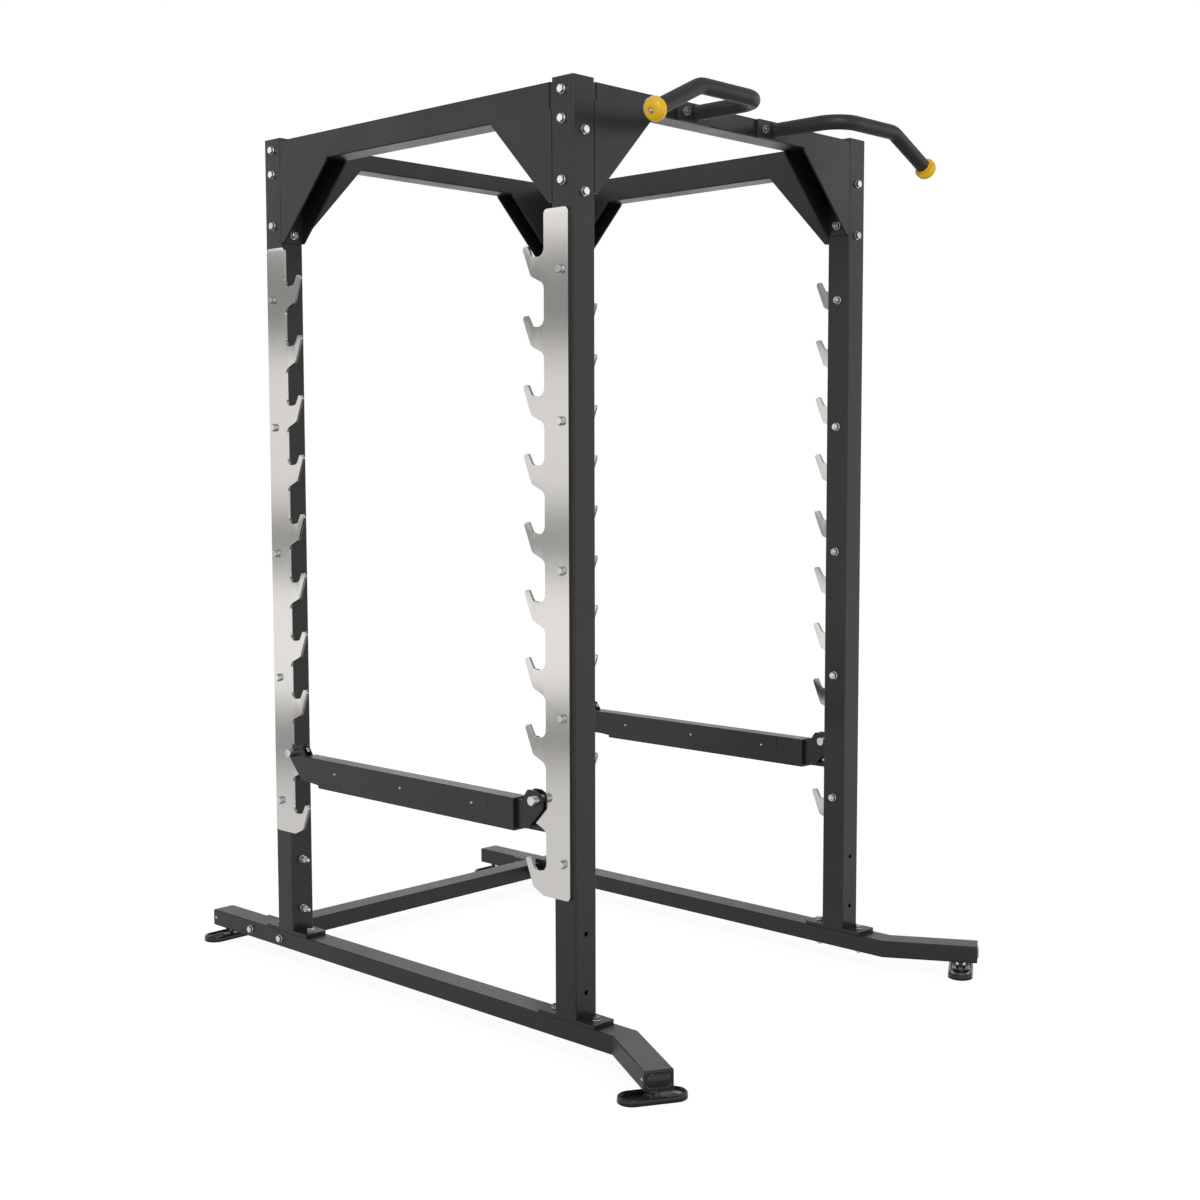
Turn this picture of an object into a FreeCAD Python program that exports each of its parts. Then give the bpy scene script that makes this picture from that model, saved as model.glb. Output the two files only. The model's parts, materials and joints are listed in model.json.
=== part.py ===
import FreeCAD, Part
import math
import os

Vector = FreeCAD.Vector
UP = Vector(0, 0, 1)

# Driving dimensions, in millimetres. X runs to the right, Y from front to rear and Z up.

# The frame
cage_width = 1230.0           # across the outer faces of the uprights
cage_depth = 1268.0           # front face of the front uprights to rear face of the rear ones
cage_height = 2452.0          # floor to the tops of the uprights
upright_size = 75.0
tube_wall = 3.0
tube_corner = 4.0             # outside corner radius of every square tube
base_plate_length = 200.0
base_plate_thickness = 10.0
base_bolt_pitch = 144.0
top_cap_depth = 14.0
spare_hole_heights = (164.0, 316.0)

# The base
rail_width = 75.0
rail_height = 50.0
rail_clearance = 40.0         # floor to the underside of the rails
rail_rear_reach = 346.0       # rear uprights to the rear end of the rail tube
rail_bend_reach = 134.0       # front uprights to the bend, along the centre line
outrigger_length = 265.0      # bend to the front end of the rail tube, along the centre line
outrigger_angle = 30.0        # outward turn of the outrigger, in degrees
cross_member_gap = 30.0       # rear uprights to the front face of the cross-member
cross_plate_length = 200.0
cross_bolt_pitch = 152.0
end_cap_thickness = 6.0
end_cap_dome = 3.5            # how far the middle of an end cap stands out past its corners
end_cap_plug = 16.0
end_cap_panel_depth = 1.2
end_cap_screw_inset = 12.0

# The feet
foot_inset_front = 46.0       # end of the outrigger to its levelling stud
foot_inset_rear = 30.0        # rear end of the rail tube to its levelling stud
foot_length = 175.0
foot_width = 72.0
foot_height = 17.0
foot_floor = 8.0
foot_rim = 8.0
foot_boss_radius = 24.0
foot_boss_top = 12.0
stud_radius = 8.0
stud_seat = 5.0               # floor to the bottom of the stud's socket in the pad
stud_top = 32.0               # how far the stud runs up inside the rail
stud_hex = 24.0
stud_nut_height = 8.0

# The top beams
beam_drop = 8.0               # tops of the uprights to the tops of the beams
side_beam_height = 75.0
cross_beam_height = 50.0
end_plate_thickness = 8.0
end_plate_inset = 2.0         # the end plates are narrower than the beams beside the tube
gusset_lap = 6.0              # how far the gusset and end plates run up past a beam's underside
side_plate_height = 292.0
cross_plate_height = 270.0
side_gusset_run = 209.0
cross_gusset_run = 213.0
gusset_thickness = 6.0
gusset_tip = 4.0
side_bolt_drops = (129.0, 278.0)          # tops of the uprights to the bolts of the side beams
cross_bolt_drops = (32.0, 102.0, 250.0)   # the same for the front and rear beams

# The rack plates
rack_thickness = 8.0
rack_top = 2136.0
rack_width = 84.5             # outer edge to the straight edge between hooks
rack_edge_inset = 12.5        # outer face of the upright to the outer edge of the plate
rack_corner = 12.0
hook_count = 10
hook_pitch = 172.6
hook_first_drop = 87.9        # top of the plate to the tip of the first hook
rack_bottom_drop = 89.7       # tip of the last hook to the bottom of the plate
notch_radius = 22.0
notch_depth = 26.5            # tip of a hook to the lowest point of its notch
notch_floor_slope = 0.136
finger_foot = 44.0            # straight edge to the inner foot of the finger
finger_tip_inner = (59.0, 3.5)
finger_tip_outer = (77.5, 1.5)
finger_heel = (46.6, 72.8)
finger_root_drop = 93.6
rack_bolt_first_drop = 150.0
rack_bolt_pitch = 372.0
rack_bolt_count = 5

# The safety arms
safety_level = 8              # hooks above the one that the arms rest in
arm_width = 50.0
arm_height = 86.0
arm_wall = 3.0
arm_corner = 2.5
arm_top_drop = 3.6            # axis of the pin to the top of the arm
arm_front_short = 77.0        # axis of the front pin to the front end of the arm
arm_rear_short = 57.0
arm_rear_cut_short = 127.0    # axis of the rear pin to the foot of the slanted cut
arm_diaphragm_short = 143.0
arm_plate = 6.0               # thickness of the lugs, the end plate and the diaphragm
lug_gap = 4.0                 # clear width between a lug and the rack plate
lug_reach = 17.0              # how far a lug runs past the pin's axis
lug_crown = 22.4              # how far a lug rises above the pin's axis
lug_shoulder = 10.0           # the same at its front edge
pin_radius = 12.5
pin_length = 76.0
pin_seat_clearance = 0.3
arm_side_screw_short = 161.0  # ends of the arm to the side screws near them
arm_side_screw_middle = 16.0
arm_rear_side_screw_short = 149.0
arm_top_screw_short = 36.0    # ends of the arm to the top screws near them
arm_top_screw_middle = 4.0
arm_rear_top_screw_short = 48.0
arm_side_screw_drop = 35.0
arm_slit_short = 99.0         # front end of the arm to the slit

# The pull-up handles
handle_radius = 20.0
handle_wall = 3.0
handle_leg_place = 166.0
handle_reach = 233.0          # front face of the front uprights to the grip's centre line
handle_elbow_place = 414.0
handle_end_place = 563.0
handle_end_drop = 72.0
handle_bend = 70.0
handle_flange_length = 136.0
handle_flange_thickness = 8.0
handle_bolt_pitch = 74.0
knob_rim_radius = 22.5
knob_rim_length = 8.0
knob_radius = 29.3
knob_length = 36.0
knob_plug = 24.0

# Fasteners
bolt_radius = 6.0
bolt_hole_radius = 6.5
bolt_hex = 19.0
bolt_head_height = 7.5
nut_height = 10.0
washer_radius = 12.0
washer_thickness = 2.5
bolt_tail = 3.0               # thread past the nut
storage_tail = 18.0           # the same on the long bolts low in the rear uprights
hex_chamfer = 1.2
slip_clearance = 0.3          # plugs, and screws in their holes
turning_clearance = 0.08      # studs in their threads and sockets, on the radius
cap_screw_radius = 3.0
cap_screw_head = 5.0
arm_screw_radius = 2.5
arm_screw_head = 4.3
knob_screw_radius = 4.0
knob_screw_head = 7.0

# Heights and places that follow from them
rail_top = rail_clearance + rail_height
rail_middle = rail_clearance + rail_height / 2
upright_foot = rail_top + base_plate_thickness
upright_x = (cage_width - upright_size) / 2
upright_y = (cage_depth - upright_size) / 2
inner_x = cage_width / 2 - upright_size
inner_y = cage_depth / 2 - upright_size
rail_inner_x = upright_x - rail_width / 2
beam_top = cage_height - beam_drop
cross_beam_middle = beam_top - cross_beam_height / 2
cross_member_y = cage_depth / 2 + cross_member_gap + rail_width / 2
rack_outer_edge = cage_depth / 2 - rack_edge_inset
rack_edge = rack_outer_edge - rack_width
rack_middle_x = (cage_width + rack_thickness) / 2
first_tip = rack_top - hook_first_drop
last_tip = first_tip - (hook_count - 1) * hook_pitch
rack_bottom = last_tip - rack_bottom_drop
pin_y = rack_edge - notch_radius
pin_z = first_tip - safety_level * hook_pitch - notch_depth + pin_radius + pin_seat_clearance
arm_top = pin_z - arm_top_drop
arm_bottom = arm_top - arm_height
arm_front_end = pin_y - arm_front_short
arm_rear_end = pin_y - arm_rear_short
arm_rear_cut = pin_y - arm_rear_cut_short
arm_diaphragm = pin_y - arm_diaphragm_short
rail_rear_end = cage_depth / 2 + rail_rear_reach
rail_bend_y = -cage_depth / 2 - rail_bend_reach
outrigger_turn = math.radians(outrigger_angle)

# The origin is on the floor, midway between the front-most and rear-most points of the base.
front_cap = rail_bend_y - (outrigger_length + end_cap_thickness - end_cap_dome) * math.cos(outrigger_turn)
front_cap -= rail_width / 2 * math.sin(outrigger_turn)
front_foot = rail_bend_y - (outrigger_length - foot_inset_front) * math.cos(outrigger_turn)
front_foot -= foot_width / 2 + (foot_length - foot_width) / 2 * math.sin(outrigger_turn)
rear_cap = rail_rear_end + end_cap_thickness
rear_foot = rail_rear_end - foot_inset_rear + foot_width / 2
origin_y = (min(front_cap, front_foot) + max(rear_cap, rear_foot)) / 2


# ---------------------------------------------------------------- shared shapes

def corner_arc(before, corner, after, radius):
    """Start, middle and end of the arc that is tangent to both sides of a corner."""
    back = (before - corner).normalize()
    ahead = (after - corner).normalize()
    half = back.getAngle(ahead) / 2
    centre = corner + (back + ahead).normalize() * (radius / math.sin(half))
    setback = radius / math.tan(half)
    middle = centre + (corner - centre).normalize() * radius
    return corner + back * setback, middle, corner + ahead * setback


def rounded_path(corners, closed):
    """Wire of straight runs and tangent arcs through (point, radius) corners."""
    ends = []
    for index, (corner, radius) in enumerate(corners):
        is_end = not closed and index in (0, len(corners) - 1)
        if is_end or radius == 0:
            ends.append((corner, None, corner))
        else:
            after = corners[(index + 1) % len(corners)][0]
            ends.append(corner_arc(corners[index - 1][0], corner, after, radius))
    edges = []
    for index, (start, middle, end) in enumerate(ends):
        if middle is not None:
            edges.append(Part.Arc(start, middle, end).toShape())
        if closed or index < len(ends) - 1:
            following = ends[(index + 1) % len(ends)][0]
            if end.distanceToPoint(following) > 0.001:
                edges.append(Part.makeLine(end, following))
    return Part.Wire(edges)


def prism(corners, axis, start, end):
    """Solid of a flat outline of (across, up, radius) corners, run along an axis from start to end."""
    spots = {
        "x": lambda across, up: Vector(start, across, up),
        "y": lambda across, up: Vector(across, start, up),
        "z": lambda across, up: Vector(across, up, start),
    }
    runs = {"x": Vector(1, 0, 0), "y": Vector(0, 1, 0), "z": UP}
    outline = rounded_path([(spots[axis](across, up), radius) for across, up, radius in corners], True)
    return Part.Face(outline).extrude(runs[axis] * (end - start))


def rectangle(middle_across, middle_up, width, height, radius):
    """Corners of an upright rectangle with rounded corners."""
    signs = ((-1, -1), (1, -1), (1, 1), (-1, 1))
    return [(middle_across + a * width / 2, middle_up + b * height / 2, radius) for a, b in signs]


def square_tube(axis, start, end, middle_across, middle_up, width, height, wall, corner):
    """Open-ended rectangular tube."""
    outside = prism(rectangle(middle_across, middle_up, width, height, corner), axis, start, end)
    bore = rectangle(middle_across, middle_up, width - 2 * wall, height - 2 * wall, max(corner - wall, 0.8))
    return outside.cut(prism(bore, axis, start, end))


def rod(spot, direction, radius, length):
    """Round bar from a spot along a direction."""
    return Part.makeCylinder(radius, length, spot, direction)


def placed(shape, spot, direction):
    """Copy of a shape drawn about +Z, set at a spot with +Z turned to a direction and +Y kept upward."""
    copy = shape.copy()
    if direction.cross(UP).Length < 0.001:
        turn = FreeCAD.Rotation(UP, direction)
    else:
        turn = FreeCAD.Rotation(UP.cross(direction), UP, direction, "ZYX")
    copy.Placement = FreeCAD.Placement(spot, turn)
    return copy


def hexagon(across_flats, low, high):
    """Hexagonal bar about the Z axis."""
    reach = across_flats / math.sqrt(3)
    angles = [math.radians(60 * step) for step in range(6)]
    return prism([(reach * math.cos(a), reach * math.sin(a), 0) for a in angles], "z", low, high)


def chamfered_hexagon(across_flats, low, high, both_ends):
    """Hexagonal head or nut whose corners are turned off at its outer end, or at both."""
    reach = across_flats / math.sqrt(3)
    turned = Part.makeCylinder(reach, high - low, Vector(0, 0, low), UP)
    rims = [edge for edge in turned.Edges if len(edge.Vertexes) == 1]
    worn = [edge for edge in rims if both_ends or edge.BoundBox.ZMin > (low + high) / 2]
    return hexagon(across_flats, low, high).common(turned.makeChamfer(hex_chamfer, worn))


def turned_part(corners):
    """Solid turned about the Z axis from a closed outline of (radius out, height, corner radius)."""
    outline = rounded_path([(Vector(out, 0, up), radius) for out, up, radius in corners], True)
    return Part.Face(outline).revolve(Vector(0, 0, 0), UP, 360)


def ring(outer_radius, inner_radius, low, high):
    """Flat ring about the Z axis."""
    hole = Part.makeCylinder(inner_radius, high - low, Vector(0, 0, low), UP)
    return Part.makeCylinder(outer_radius, high - low, Vector(0, 0, low), UP).cut(hole)


def button_screw(radius, head_radius, length):
    """Round-headed socket screw: its head stands on z = 0 and its shank runs down."""
    head_height = head_radius * 0.5
    outline = [
        (0, -length, 0),
        (radius, -length, 0),
        (radius, 0, 0),
        (head_radius, 0, 0),
        (head_radius * 0.95, head_height * 0.5, head_radius * 0.2),
        (head_radius * 0.6, head_height, head_radius * 0.25),
        (0, head_height, 0),
    ]
    socket = hexagon(head_radius * 0.8, head_height * 0.35, head_height + 1)
    return turned_part(outline).cut(socket)


def bolt_set(joint, spot, direction, grip, tail):
    """Add a hex bolt, its two washers and its nut to a joint; the bolt's head faces the direction."""
    nut_face = -grip - washer_thickness
    shank_length = grip + 2 * washer_thickness + nut_height + tail
    head = chamfered_hexagon(bolt_hex, washer_thickness, washer_thickness + bolt_head_height, False)
    shank = rod(Vector(0, 0, washer_thickness - shank_length), UP, bolt_radius, shank_length)
    washer = ring(washer_radius, bolt_hole_radius, 0, washer_thickness)
    nut = chamfered_hexagon(bolt_hex, nut_face - nut_height, nut_face, True)
    nut = nut.cut(rod(Vector(0, 0, nut_face - nut_height), UP, bolt_radius, nut_height))
    nodes[joint + "_bolts"].append(placed(head.fuse(shank).removeSplitter(), spot, direction))
    nodes[joint + "_washers"].append(placed(washer, spot, direction))
    far_face = spot - direction * (grip + washer_thickness)
    nodes[joint + "_washers"].append(placed(washer, far_face, direction))
    nodes[joint + "_nuts"].append(placed(nut, spot, direction))


# ---------------------------------------------------------------- uprights

def bolt_heights_across():
    """Heights of the bolts that run along X through an upright."""
    racks = [rack_top - rack_bolt_first_drop - step * rack_bolt_pitch for step in range(rack_bolt_count)]
    return racks, [cage_height - drop for drop in cross_bolt_drops]


def bolt_heights_along():
    """Heights of the bolts that run along Y through an upright."""
    return [cage_height - drop for drop in side_bolt_drops]


def upright(side, end):
    """Square post welded to its base plate, drilled for everything that is bolted to it."""
    x = side * upright_x
    y = end * upright_y
    post = square_tube("z", upright_foot, cage_height, x, y, upright_size, upright_size, tube_wall, tube_corner)
    plate = prism(rectangle(x, y, rail_width, base_plate_length, 3), "z", rail_top, upright_foot)
    holes = []
    rack_heights, cross_heights = bolt_heights_across()
    for height in rack_heights + cross_heights:
        start = Vector(x - upright_size, y, height)
        holes.append(rod(start, Vector(1, 0, 0), bolt_hole_radius, 2 * upright_size))
    for height in bolt_heights_along() + list(spare_hole_heights):
        start = Vector(x, y - upright_size, height)
        holes.append(rod(start, Vector(0, 1, 0), bolt_hole_radius, 2 * upright_size))
    for step in (-1, 1):
        start = Vector(x, y + step * base_bolt_pitch / 2, rail_top)
        holes.append(rod(start, UP, bolt_hole_radius, base_plate_thickness))
    return post.fuse(plate).cut(holes)


def top_cap(side, end):
    """Plastic plug that closes the top of an upright."""
    width = upright_size - 2 * tube_wall - 2 * slip_clearance
    x = side * upright_x
    y = end * upright_y
    low = cage_height - top_cap_depth
    plug = prism(rectangle(x, y, width, width, 1), "z", low, cage_height)
    hollow = rectangle(x, y, width - 2 * tube_wall, width - 2 * tube_wall, 1)
    return plug.cut(prism(hollow, "z", low, cage_height - tube_wall))


# ---------------------------------------------------------------- top beams

def block(axis, start, end, middle_across, width, low, high):
    """Box that runs along X or Y."""
    across = rectangle(middle_across, (low + high) / 2, width, high - low, 0)
    return prism(across, axis, start, end)


def gusseted_beam(axis, across, height, plate_height, gusset_run, bolt_heights):
    """Top beam welded to a bolting plate and a pair of gusset plates at each end."""
    other_axis = {"x": "y", "y": "x"}[axis]
    half_length = {"x": inner_x, "y": inner_y}[axis]
    along = {"x": Vector(1, 0, 0), "y": Vector(0, 1, 0)}[axis]
    sideways = {"x": Vector(0, 1, 0), "y": Vector(1, 0, 0)}[axis]
    tube_end = half_length - end_plate_thickness
    underside = beam_top - height
    seam = underside + gusset_lap
    plate_bottom = beam_top - plate_height
    middle = beam_top - height / 2
    beam = square_tube(axis, -tube_end, tube_end, across, middle, upright_size, height, tube_wall, tube_corner)
    welded = []
    holes = []
    for end in (-1, 1):
        inner = end * tube_end
        outer = end * half_length
        narrow = upright_size - 2 * end_plate_inset
        welded.append(block(axis, inner, outer, across, narrow, seam, beam_top - end_plate_inset))
        welded.append(block(axis, inner, outer, across, upright_size, plate_bottom, seam))
        gusset = [
            (inner, seam, 0),
            (inner, plate_bottom, 0),
            (inner - end * gusset_tip, plate_bottom, 0),
            (inner - end * gusset_run, underside - gusset_tip, 0),
            (inner - end * gusset_run, seam, 0),
        ]
        for face in (-1, 1):
            outside = across + face * upright_size / 2
            welded.append(prism(gusset, other_axis, outside, outside - face * gusset_thickness))
        for bolt_height in bolt_heights:
            start = along * (end * (tube_end - 1)) + sideways * across + UP * bolt_height
            holes.append(rod(start, along * end, bolt_hole_radius, end_plate_thickness + 2))
    return beam.fuse(welded).cut(holes).removeSplitter()


# ---------------------------------------------------------------- rack plates

def hook_corners(tip):
    """Corners of one hook, from its notch down to its root, as (out from the edge, height, radius)."""
    rise = math.sqrt(1 + notch_floor_slope ** 2)
    floor_start = tip - notch_depth + notch_radius * (1 - rise - notch_floor_slope)
    return [
        (0, floor_start, notch_radius),
        (finger_foot, floor_start + notch_floor_slope * finger_foot, 12),
        (finger_tip_inner[0], tip + finger_tip_inner[1], 4),
        (finger_tip_outer[0], tip + finger_tip_outer[1], 8),
        (finger_heel[0], tip - finger_heel[1], 14),
        (0, tip - finger_root_drop, 20),
    ]


def rack_plate(side, end):
    """Laser-cut plate with a column of bar hooks, bolted to the outer face of an upright."""
    corners = [(-rack_width, rack_top, rack_corner), (0, rack_top, rack_corner)]
    for hook in range(hook_count):
        corners += hook_corners(first_tip - hook * hook_pitch)
    corners.pop()
    underside_slope = (finger_root_drop - finger_heel[1]) / finger_heel[0]
    flat_start = (finger_root_drop - rack_bottom_drop) / underside_slope
    corners += [(flat_start, rack_bottom, 10), (-rack_width, rack_bottom, rack_corner)]
    outline = [(end * (rack_edge - out), height, radius) for out, height, radius in corners]
    inside = side * cage_width / 2
    plate = prism(outline, "x", inside, inside + side * rack_thickness)
    holes = []
    for height in bolt_heights_across()[0]:
        start = Vector(inside - side, end * upright_y, height)
        holes.append(rod(start, Vector(side, 0, 0), bolt_hole_radius, rack_thickness + 2))
    return plate.cut(holes)


# ---------------------------------------------------------------- base

def outrigger_direction(side):
    """Way that the front end of a rail points."""
    return Vector(side * math.sin(outrigger_turn), -math.cos(outrigger_turn), 0)


def rail_end(side, end):
    """Middle of the open end of a rail tube."""
    if end > 0:
        return Vector(side * upright_x, rail_rear_end, rail_middle)
    bend = Vector(side * upright_x, rail_bend_y, rail_middle)
    return bend + outrigger_direction(side) * outrigger_length


def rail_way(side, end):
    """Way out of the open end of a rail tube."""
    if end > 0:
        return Vector(0, 1, 0)
    return outrigger_direction(side)


def foot_spot(side, end):
    """Place of a levelling stud on the floor."""
    inset = {-1: foot_inset_front, 1: foot_inset_rear}[end]
    spot = rail_end(side, end) - rail_way(side, end) * inset
    return Vector(spot.x, spot.y, 0)


def base_rail(side):
    """Long rail with a mitred outrigger at the front, drilled for the uprights, feet and cross-member."""
    bend = Vector(side * upright_x, rail_bend_y, rail_middle)
    route = rounded_path([(rail_end(side, 1), 0), (bend, 0), (rail_end(side, -1), 0)], False)
    skins = []
    for width, height, corner in (
        (rail_width, rail_height, tube_corner),
        (rail_width - 2 * tube_wall, rail_height - 2 * tube_wall, 1),
    ):
        corners = rectangle(side * upright_x, rail_middle, width, height, corner)
        section = rounded_path([(Vector(a, rail_rear_end, b), radius) for a, b, radius in corners], True)
        skins.append(route.makePipeShell([section], True, True, 1))
    rail = skins[0].cut(skins[1])
    holes = []
    for end in (-1, 1):
        for step in (-1, 1):
            start = Vector(side * upright_x, end * upright_y + step * base_bolt_pitch / 2, rail_clearance - 1)
            holes.append(rod(start, UP, bolt_hole_radius, rail_height + 2))
        stud_hole = foot_spot(side, end) + UP * (rail_clearance - 1)
        holes.append(rod(stud_hole, UP, stud_radius + turning_clearance, tube_wall + 2))
        screw_spot, screw_way = cap_screw_place(side, end)
        holes.append(rod(screw_spot + screw_way, screw_way * -1, cap_screw_radius + slip_clearance, tube_wall + 2))
    for step in (-1, 1):
        start = Vector(side * (rail_inner_x - 1), cross_member_y + step * cross_bolt_pitch / 2, rail_middle)
        holes.append(rod(start, Vector(side, 0, 0), bolt_hole_radius, rail_width + 2))
    return rail.cut(holes)


def cap_screw_place(side, end):
    """Spot on a rail's outer side face, near its end, and the way out of that face."""
    way = rail_way(side, end)
    outward = way.cross(UP) * side * end
    return rail_end(side, end) - way * end_cap_screw_inset + outward * (rail_width / 2), outward


def end_cap():
    """Domed plastic cap about +Z: its shallow panel, its rim on z = 0 and its plug below."""
    width = rail_width - 2 * tube_wall - 2 * slip_clearance
    height = rail_height - 2 * tube_wall - 2 * slip_clearance
    reach = math.hypot(rail_width, rail_height) / 2
    ball_radius = (reach ** 2 + end_cap_dome ** 2) / (2 * end_cap_dome)
    ball = Part.makeSphere(ball_radius, Vector(0, 0, end_cap_thickness - ball_radius))
    cover = prism(rectangle(0, 0, rail_width, rail_height, tube_corner), "z", 0, end_cap_thickness).common(ball)
    panel = prism(rectangle(0, 0, rail_width * 0.66, rail_height * 0.56, 9), "z", 0, end_cap_thickness)
    panel_ball = Part.makeSphere(ball_radius, Vector(0, 0, end_cap_thickness - end_cap_panel_depth - ball_radius))
    cover = cover.cut(panel.cut(panel_ball))
    plug = prism(rectangle(0, 0, width, height, 2), "z", -end_cap_plug, 0)
    hollow = prism(rectangle(0, 0, width - 6, height - 6, 1), "z", -end_cap_plug, -2)
    return cover.fuse(plug.cut(hollow)).removeSplitter()


def base_cross_member():
    """Rear tube between the rails, welded to a long bolting plate at each end."""
    tube_end = rail_inner_x - end_plate_thickness
    tube = square_tube("x", -tube_end, tube_end, cross_member_y, rail_middle,
                       rail_width, rail_height, tube_wall, tube_corner)
    plates = []
    holes = []
    for side in (-1, 1):
        outline = rectangle(cross_member_y, rail_middle, cross_plate_length, rail_height, 4)
        plates.append(prism(outline, "x", side * tube_end, side * rail_inner_x))
        for step in (-1, 1):
            start = Vector(side * (tube_end - 1), cross_member_y + step * cross_bolt_pitch / 2, rail_middle)
            holes.append(rod(start, Vector(side, 0, 0), bolt_hole_radius, end_plate_thickness + 2))
    return tube.fuse(plates).cut(holes)


# ---------------------------------------------------------------- feet

def foot_pad(side, end):
    """Long oval pad, square to its rail, with a dished top and a boss that holds the stud."""
    pad = prism(rectangle(0, 0, foot_length, foot_width, foot_width / 2 - 0.01), "z", 0, foot_height)
    top_edges = [edge for edge in pad.Edges if edge.BoundBox.ZMin > foot_height - 0.1]
    pad = pad.makeChamfer(2.5, top_edges)
    dish_width = foot_width - 2 * foot_rim
    dish_outline = rectangle(0, 0, foot_length - 2 * foot_rim, dish_width, dish_width / 2 - 0.01)
    dish = prism(dish_outline, "z", foot_floor, foot_height)
    boss = Part.makeCylinder(foot_boss_radius, foot_boss_top, Vector(0, 0, 0), UP)
    socket = rod(Vector(0, 0, stud_seat), UP, stud_radius + turning_clearance, foot_height)
    pad = pad.cut(dish.cut(boss)).cut(socket)
    turn = math.degrees(math.atan2(-rail_way(side, end).x, rail_way(side, end).y))
    pad.Placement = FreeCAD.Placement(foot_spot(side, end), FreeCAD.Rotation(UP, turn))
    return pad


def foot_stud(side, end):
    """Threaded stud with a long hex body that stands on the pad's boss."""
    low = stud_seat + slip_clearance
    shank = rod(UP * low, UP, stud_radius, rail_clearance + stud_top - low)
    body_top = rail_clearance - stud_nut_height
    body = chamfered_hexagon(stud_hex, foot_boss_top + slip_clearance, body_top, True)
    return placed(shank.fuse(body).removeSplitter(), foot_spot(side, end), UP)


def foot_nut(side, end, low, height):
    """Hex nut round a levelling stud."""
    nut = chamfered_hexagon(stud_hex, low, low + height, True)
    nut = nut.cut(rod(Vector(0, 0, low), UP, stud_radius + turning_clearance, height))
    return placed(nut, foot_spot(side, end), UP)


# ---------------------------------------------------------------- safety arms

def lug_corners(end, start, has_toe):
    """Outline of a lug from the arm's end out round the pin, as (place along Y, height, radius)."""
    throat = pin_z - 57
    corners = [
        (start, arm_top - arm_wall, 0),
        (pin_y - 57, arm_top - arm_wall, 10),
        (pin_y - 36, pin_z + lug_crown, 8),
        (pin_y - 11, pin_z + lug_crown, 8),
        (pin_y + lug_reach, pin_z + lug_shoulder, 8),
        (pin_y + lug_reach, pin_z - 23, 8),
    ]
    if has_toe:
        corners += [(pin_y - 12, throat + 4, 8), (pin_y + 20, arm_bottom + 4, 2), (start, arm_bottom + arm_wall, 0)]
    else:
        corners += [(pin_y - 15, throat, 12), (pin_y - 37, arm_bottom + 12, 10), (start, arm_bottom + arm_wall + 1, 0)]
    return [(end * place, height, radius) for place, height, radius in corners]


def safety_arm(side):
    """Box-section safety arm welded to two lugs at each end, which straddle the rack plates."""
    x = side * rack_middle_x
    middle = (arm_top + arm_bottom) / 2
    box = square_tube("y", -arm_front_end, arm_rear_end, x, middle, arm_width, arm_height, arm_wall, arm_corner)
    cut_away = [
        (arm_rear_end + 1, arm_top - arm_wall, 0),
        (arm_rear_end, arm_top - arm_wall, 0),
        (arm_rear_cut, arm_bottom + 22, 14),
        (arm_rear_cut - 3, arm_bottom - 1, 0),
        (arm_rear_end + 1, arm_bottom - 1, 0),
    ]
    box = box.cut(prism(cut_away, "x", x - arm_width, x + arm_width))
    welded = [
        block("y", -arm_front_end, arm_plate - arm_front_end, x, arm_width - 2 * arm_wall,
              arm_bottom + arm_wall, arm_top - arm_wall),
        block("y", arm_diaphragm, arm_diaphragm + arm_plate, x, arm_width - 2 * arm_wall,
              arm_bottom + arm_wall, arm_top - arm_wall),
    ]
    holes = []
    lug_inside = rack_thickness / 2 + lug_gap
    for end, start in ((-1, arm_front_end - arm_plate), (1, arm_diaphragm + arm_plate)):
        for face in (-1, 1):
            near = x + face * lug_inside
            welded.append(prism(lug_corners(end, start, face > 0), "x", near, near + face * arm_plate))
        holes.append(rod(Vector(x - arm_width, end * pin_y, pin_z), Vector(1, 0, 0), pin_radius, 2 * arm_width))
    for spot, way in arm_screw_places(side):
        holes.append(rod(spot + way, way * -1, arm_screw_radius + slip_clearance, arm_wall + 2))
    slit = Part.makeBox(arm_wall, 1.2, arm_height / 2, Vector(x - arm_width / 2, arm_slit_short - arm_front_end, middle))
    holes.append(slit)
    return box.fuse(welded).cut(holes)


def arm_screw_places(side):
    """Spots of the small screws on an arm and the way out of the face that each is in."""
    x = side * rack_middle_x
    places = []
    side_places = (arm_side_screw_short - arm_front_end, arm_side_screw_middle, arm_rear_end - arm_rear_side_screw_short)
    top_places = (arm_top_screw_short - arm_front_end, arm_top_screw_middle, arm_rear_end - arm_rear_top_screw_short)
    for side_y, top_y in zip(side_places, top_places):
        side_spot = Vector(x - arm_width / 2, side_y, arm_top - arm_side_screw_drop)
        places.append((side_spot, Vector(-1, 0, 0)))
        places.append((Vector(x, top_y, arm_top), UP))
    return places


def safety_pin(side, end):
    """Solid round pin that rests in a hook."""
    pin = rod(Vector(0, 0, -pin_length / 2), UP, pin_radius, pin_length)
    rims = [edge for edge in pin.Edges if len(edge.Vertexes) == 1]
    pin = pin.makeChamfer(1, rims)
    return placed(pin, Vector(side * rack_middle_x, end * pin_y, pin_z), Vector(1, 0, 0))


# ---------------------------------------------------------------- pull-up handles

def handle_corner(side, number):
    """Corner points of a handle's centre line, from its flange to its grip end."""
    face = -cage_depth / 2 - handle_flange_thickness
    grip_y = -cage_depth / 2 - handle_reach
    places = [
        Vector(side * handle_leg_place, face, cross_beam_middle),
        Vector(side * handle_leg_place, grip_y, cross_beam_middle),
        Vector(side * handle_elbow_place, grip_y, cross_beam_middle),
        Vector(side * handle_end_place, grip_y, cross_beam_middle - handle_end_drop),
    ]
    return places[number]


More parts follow.
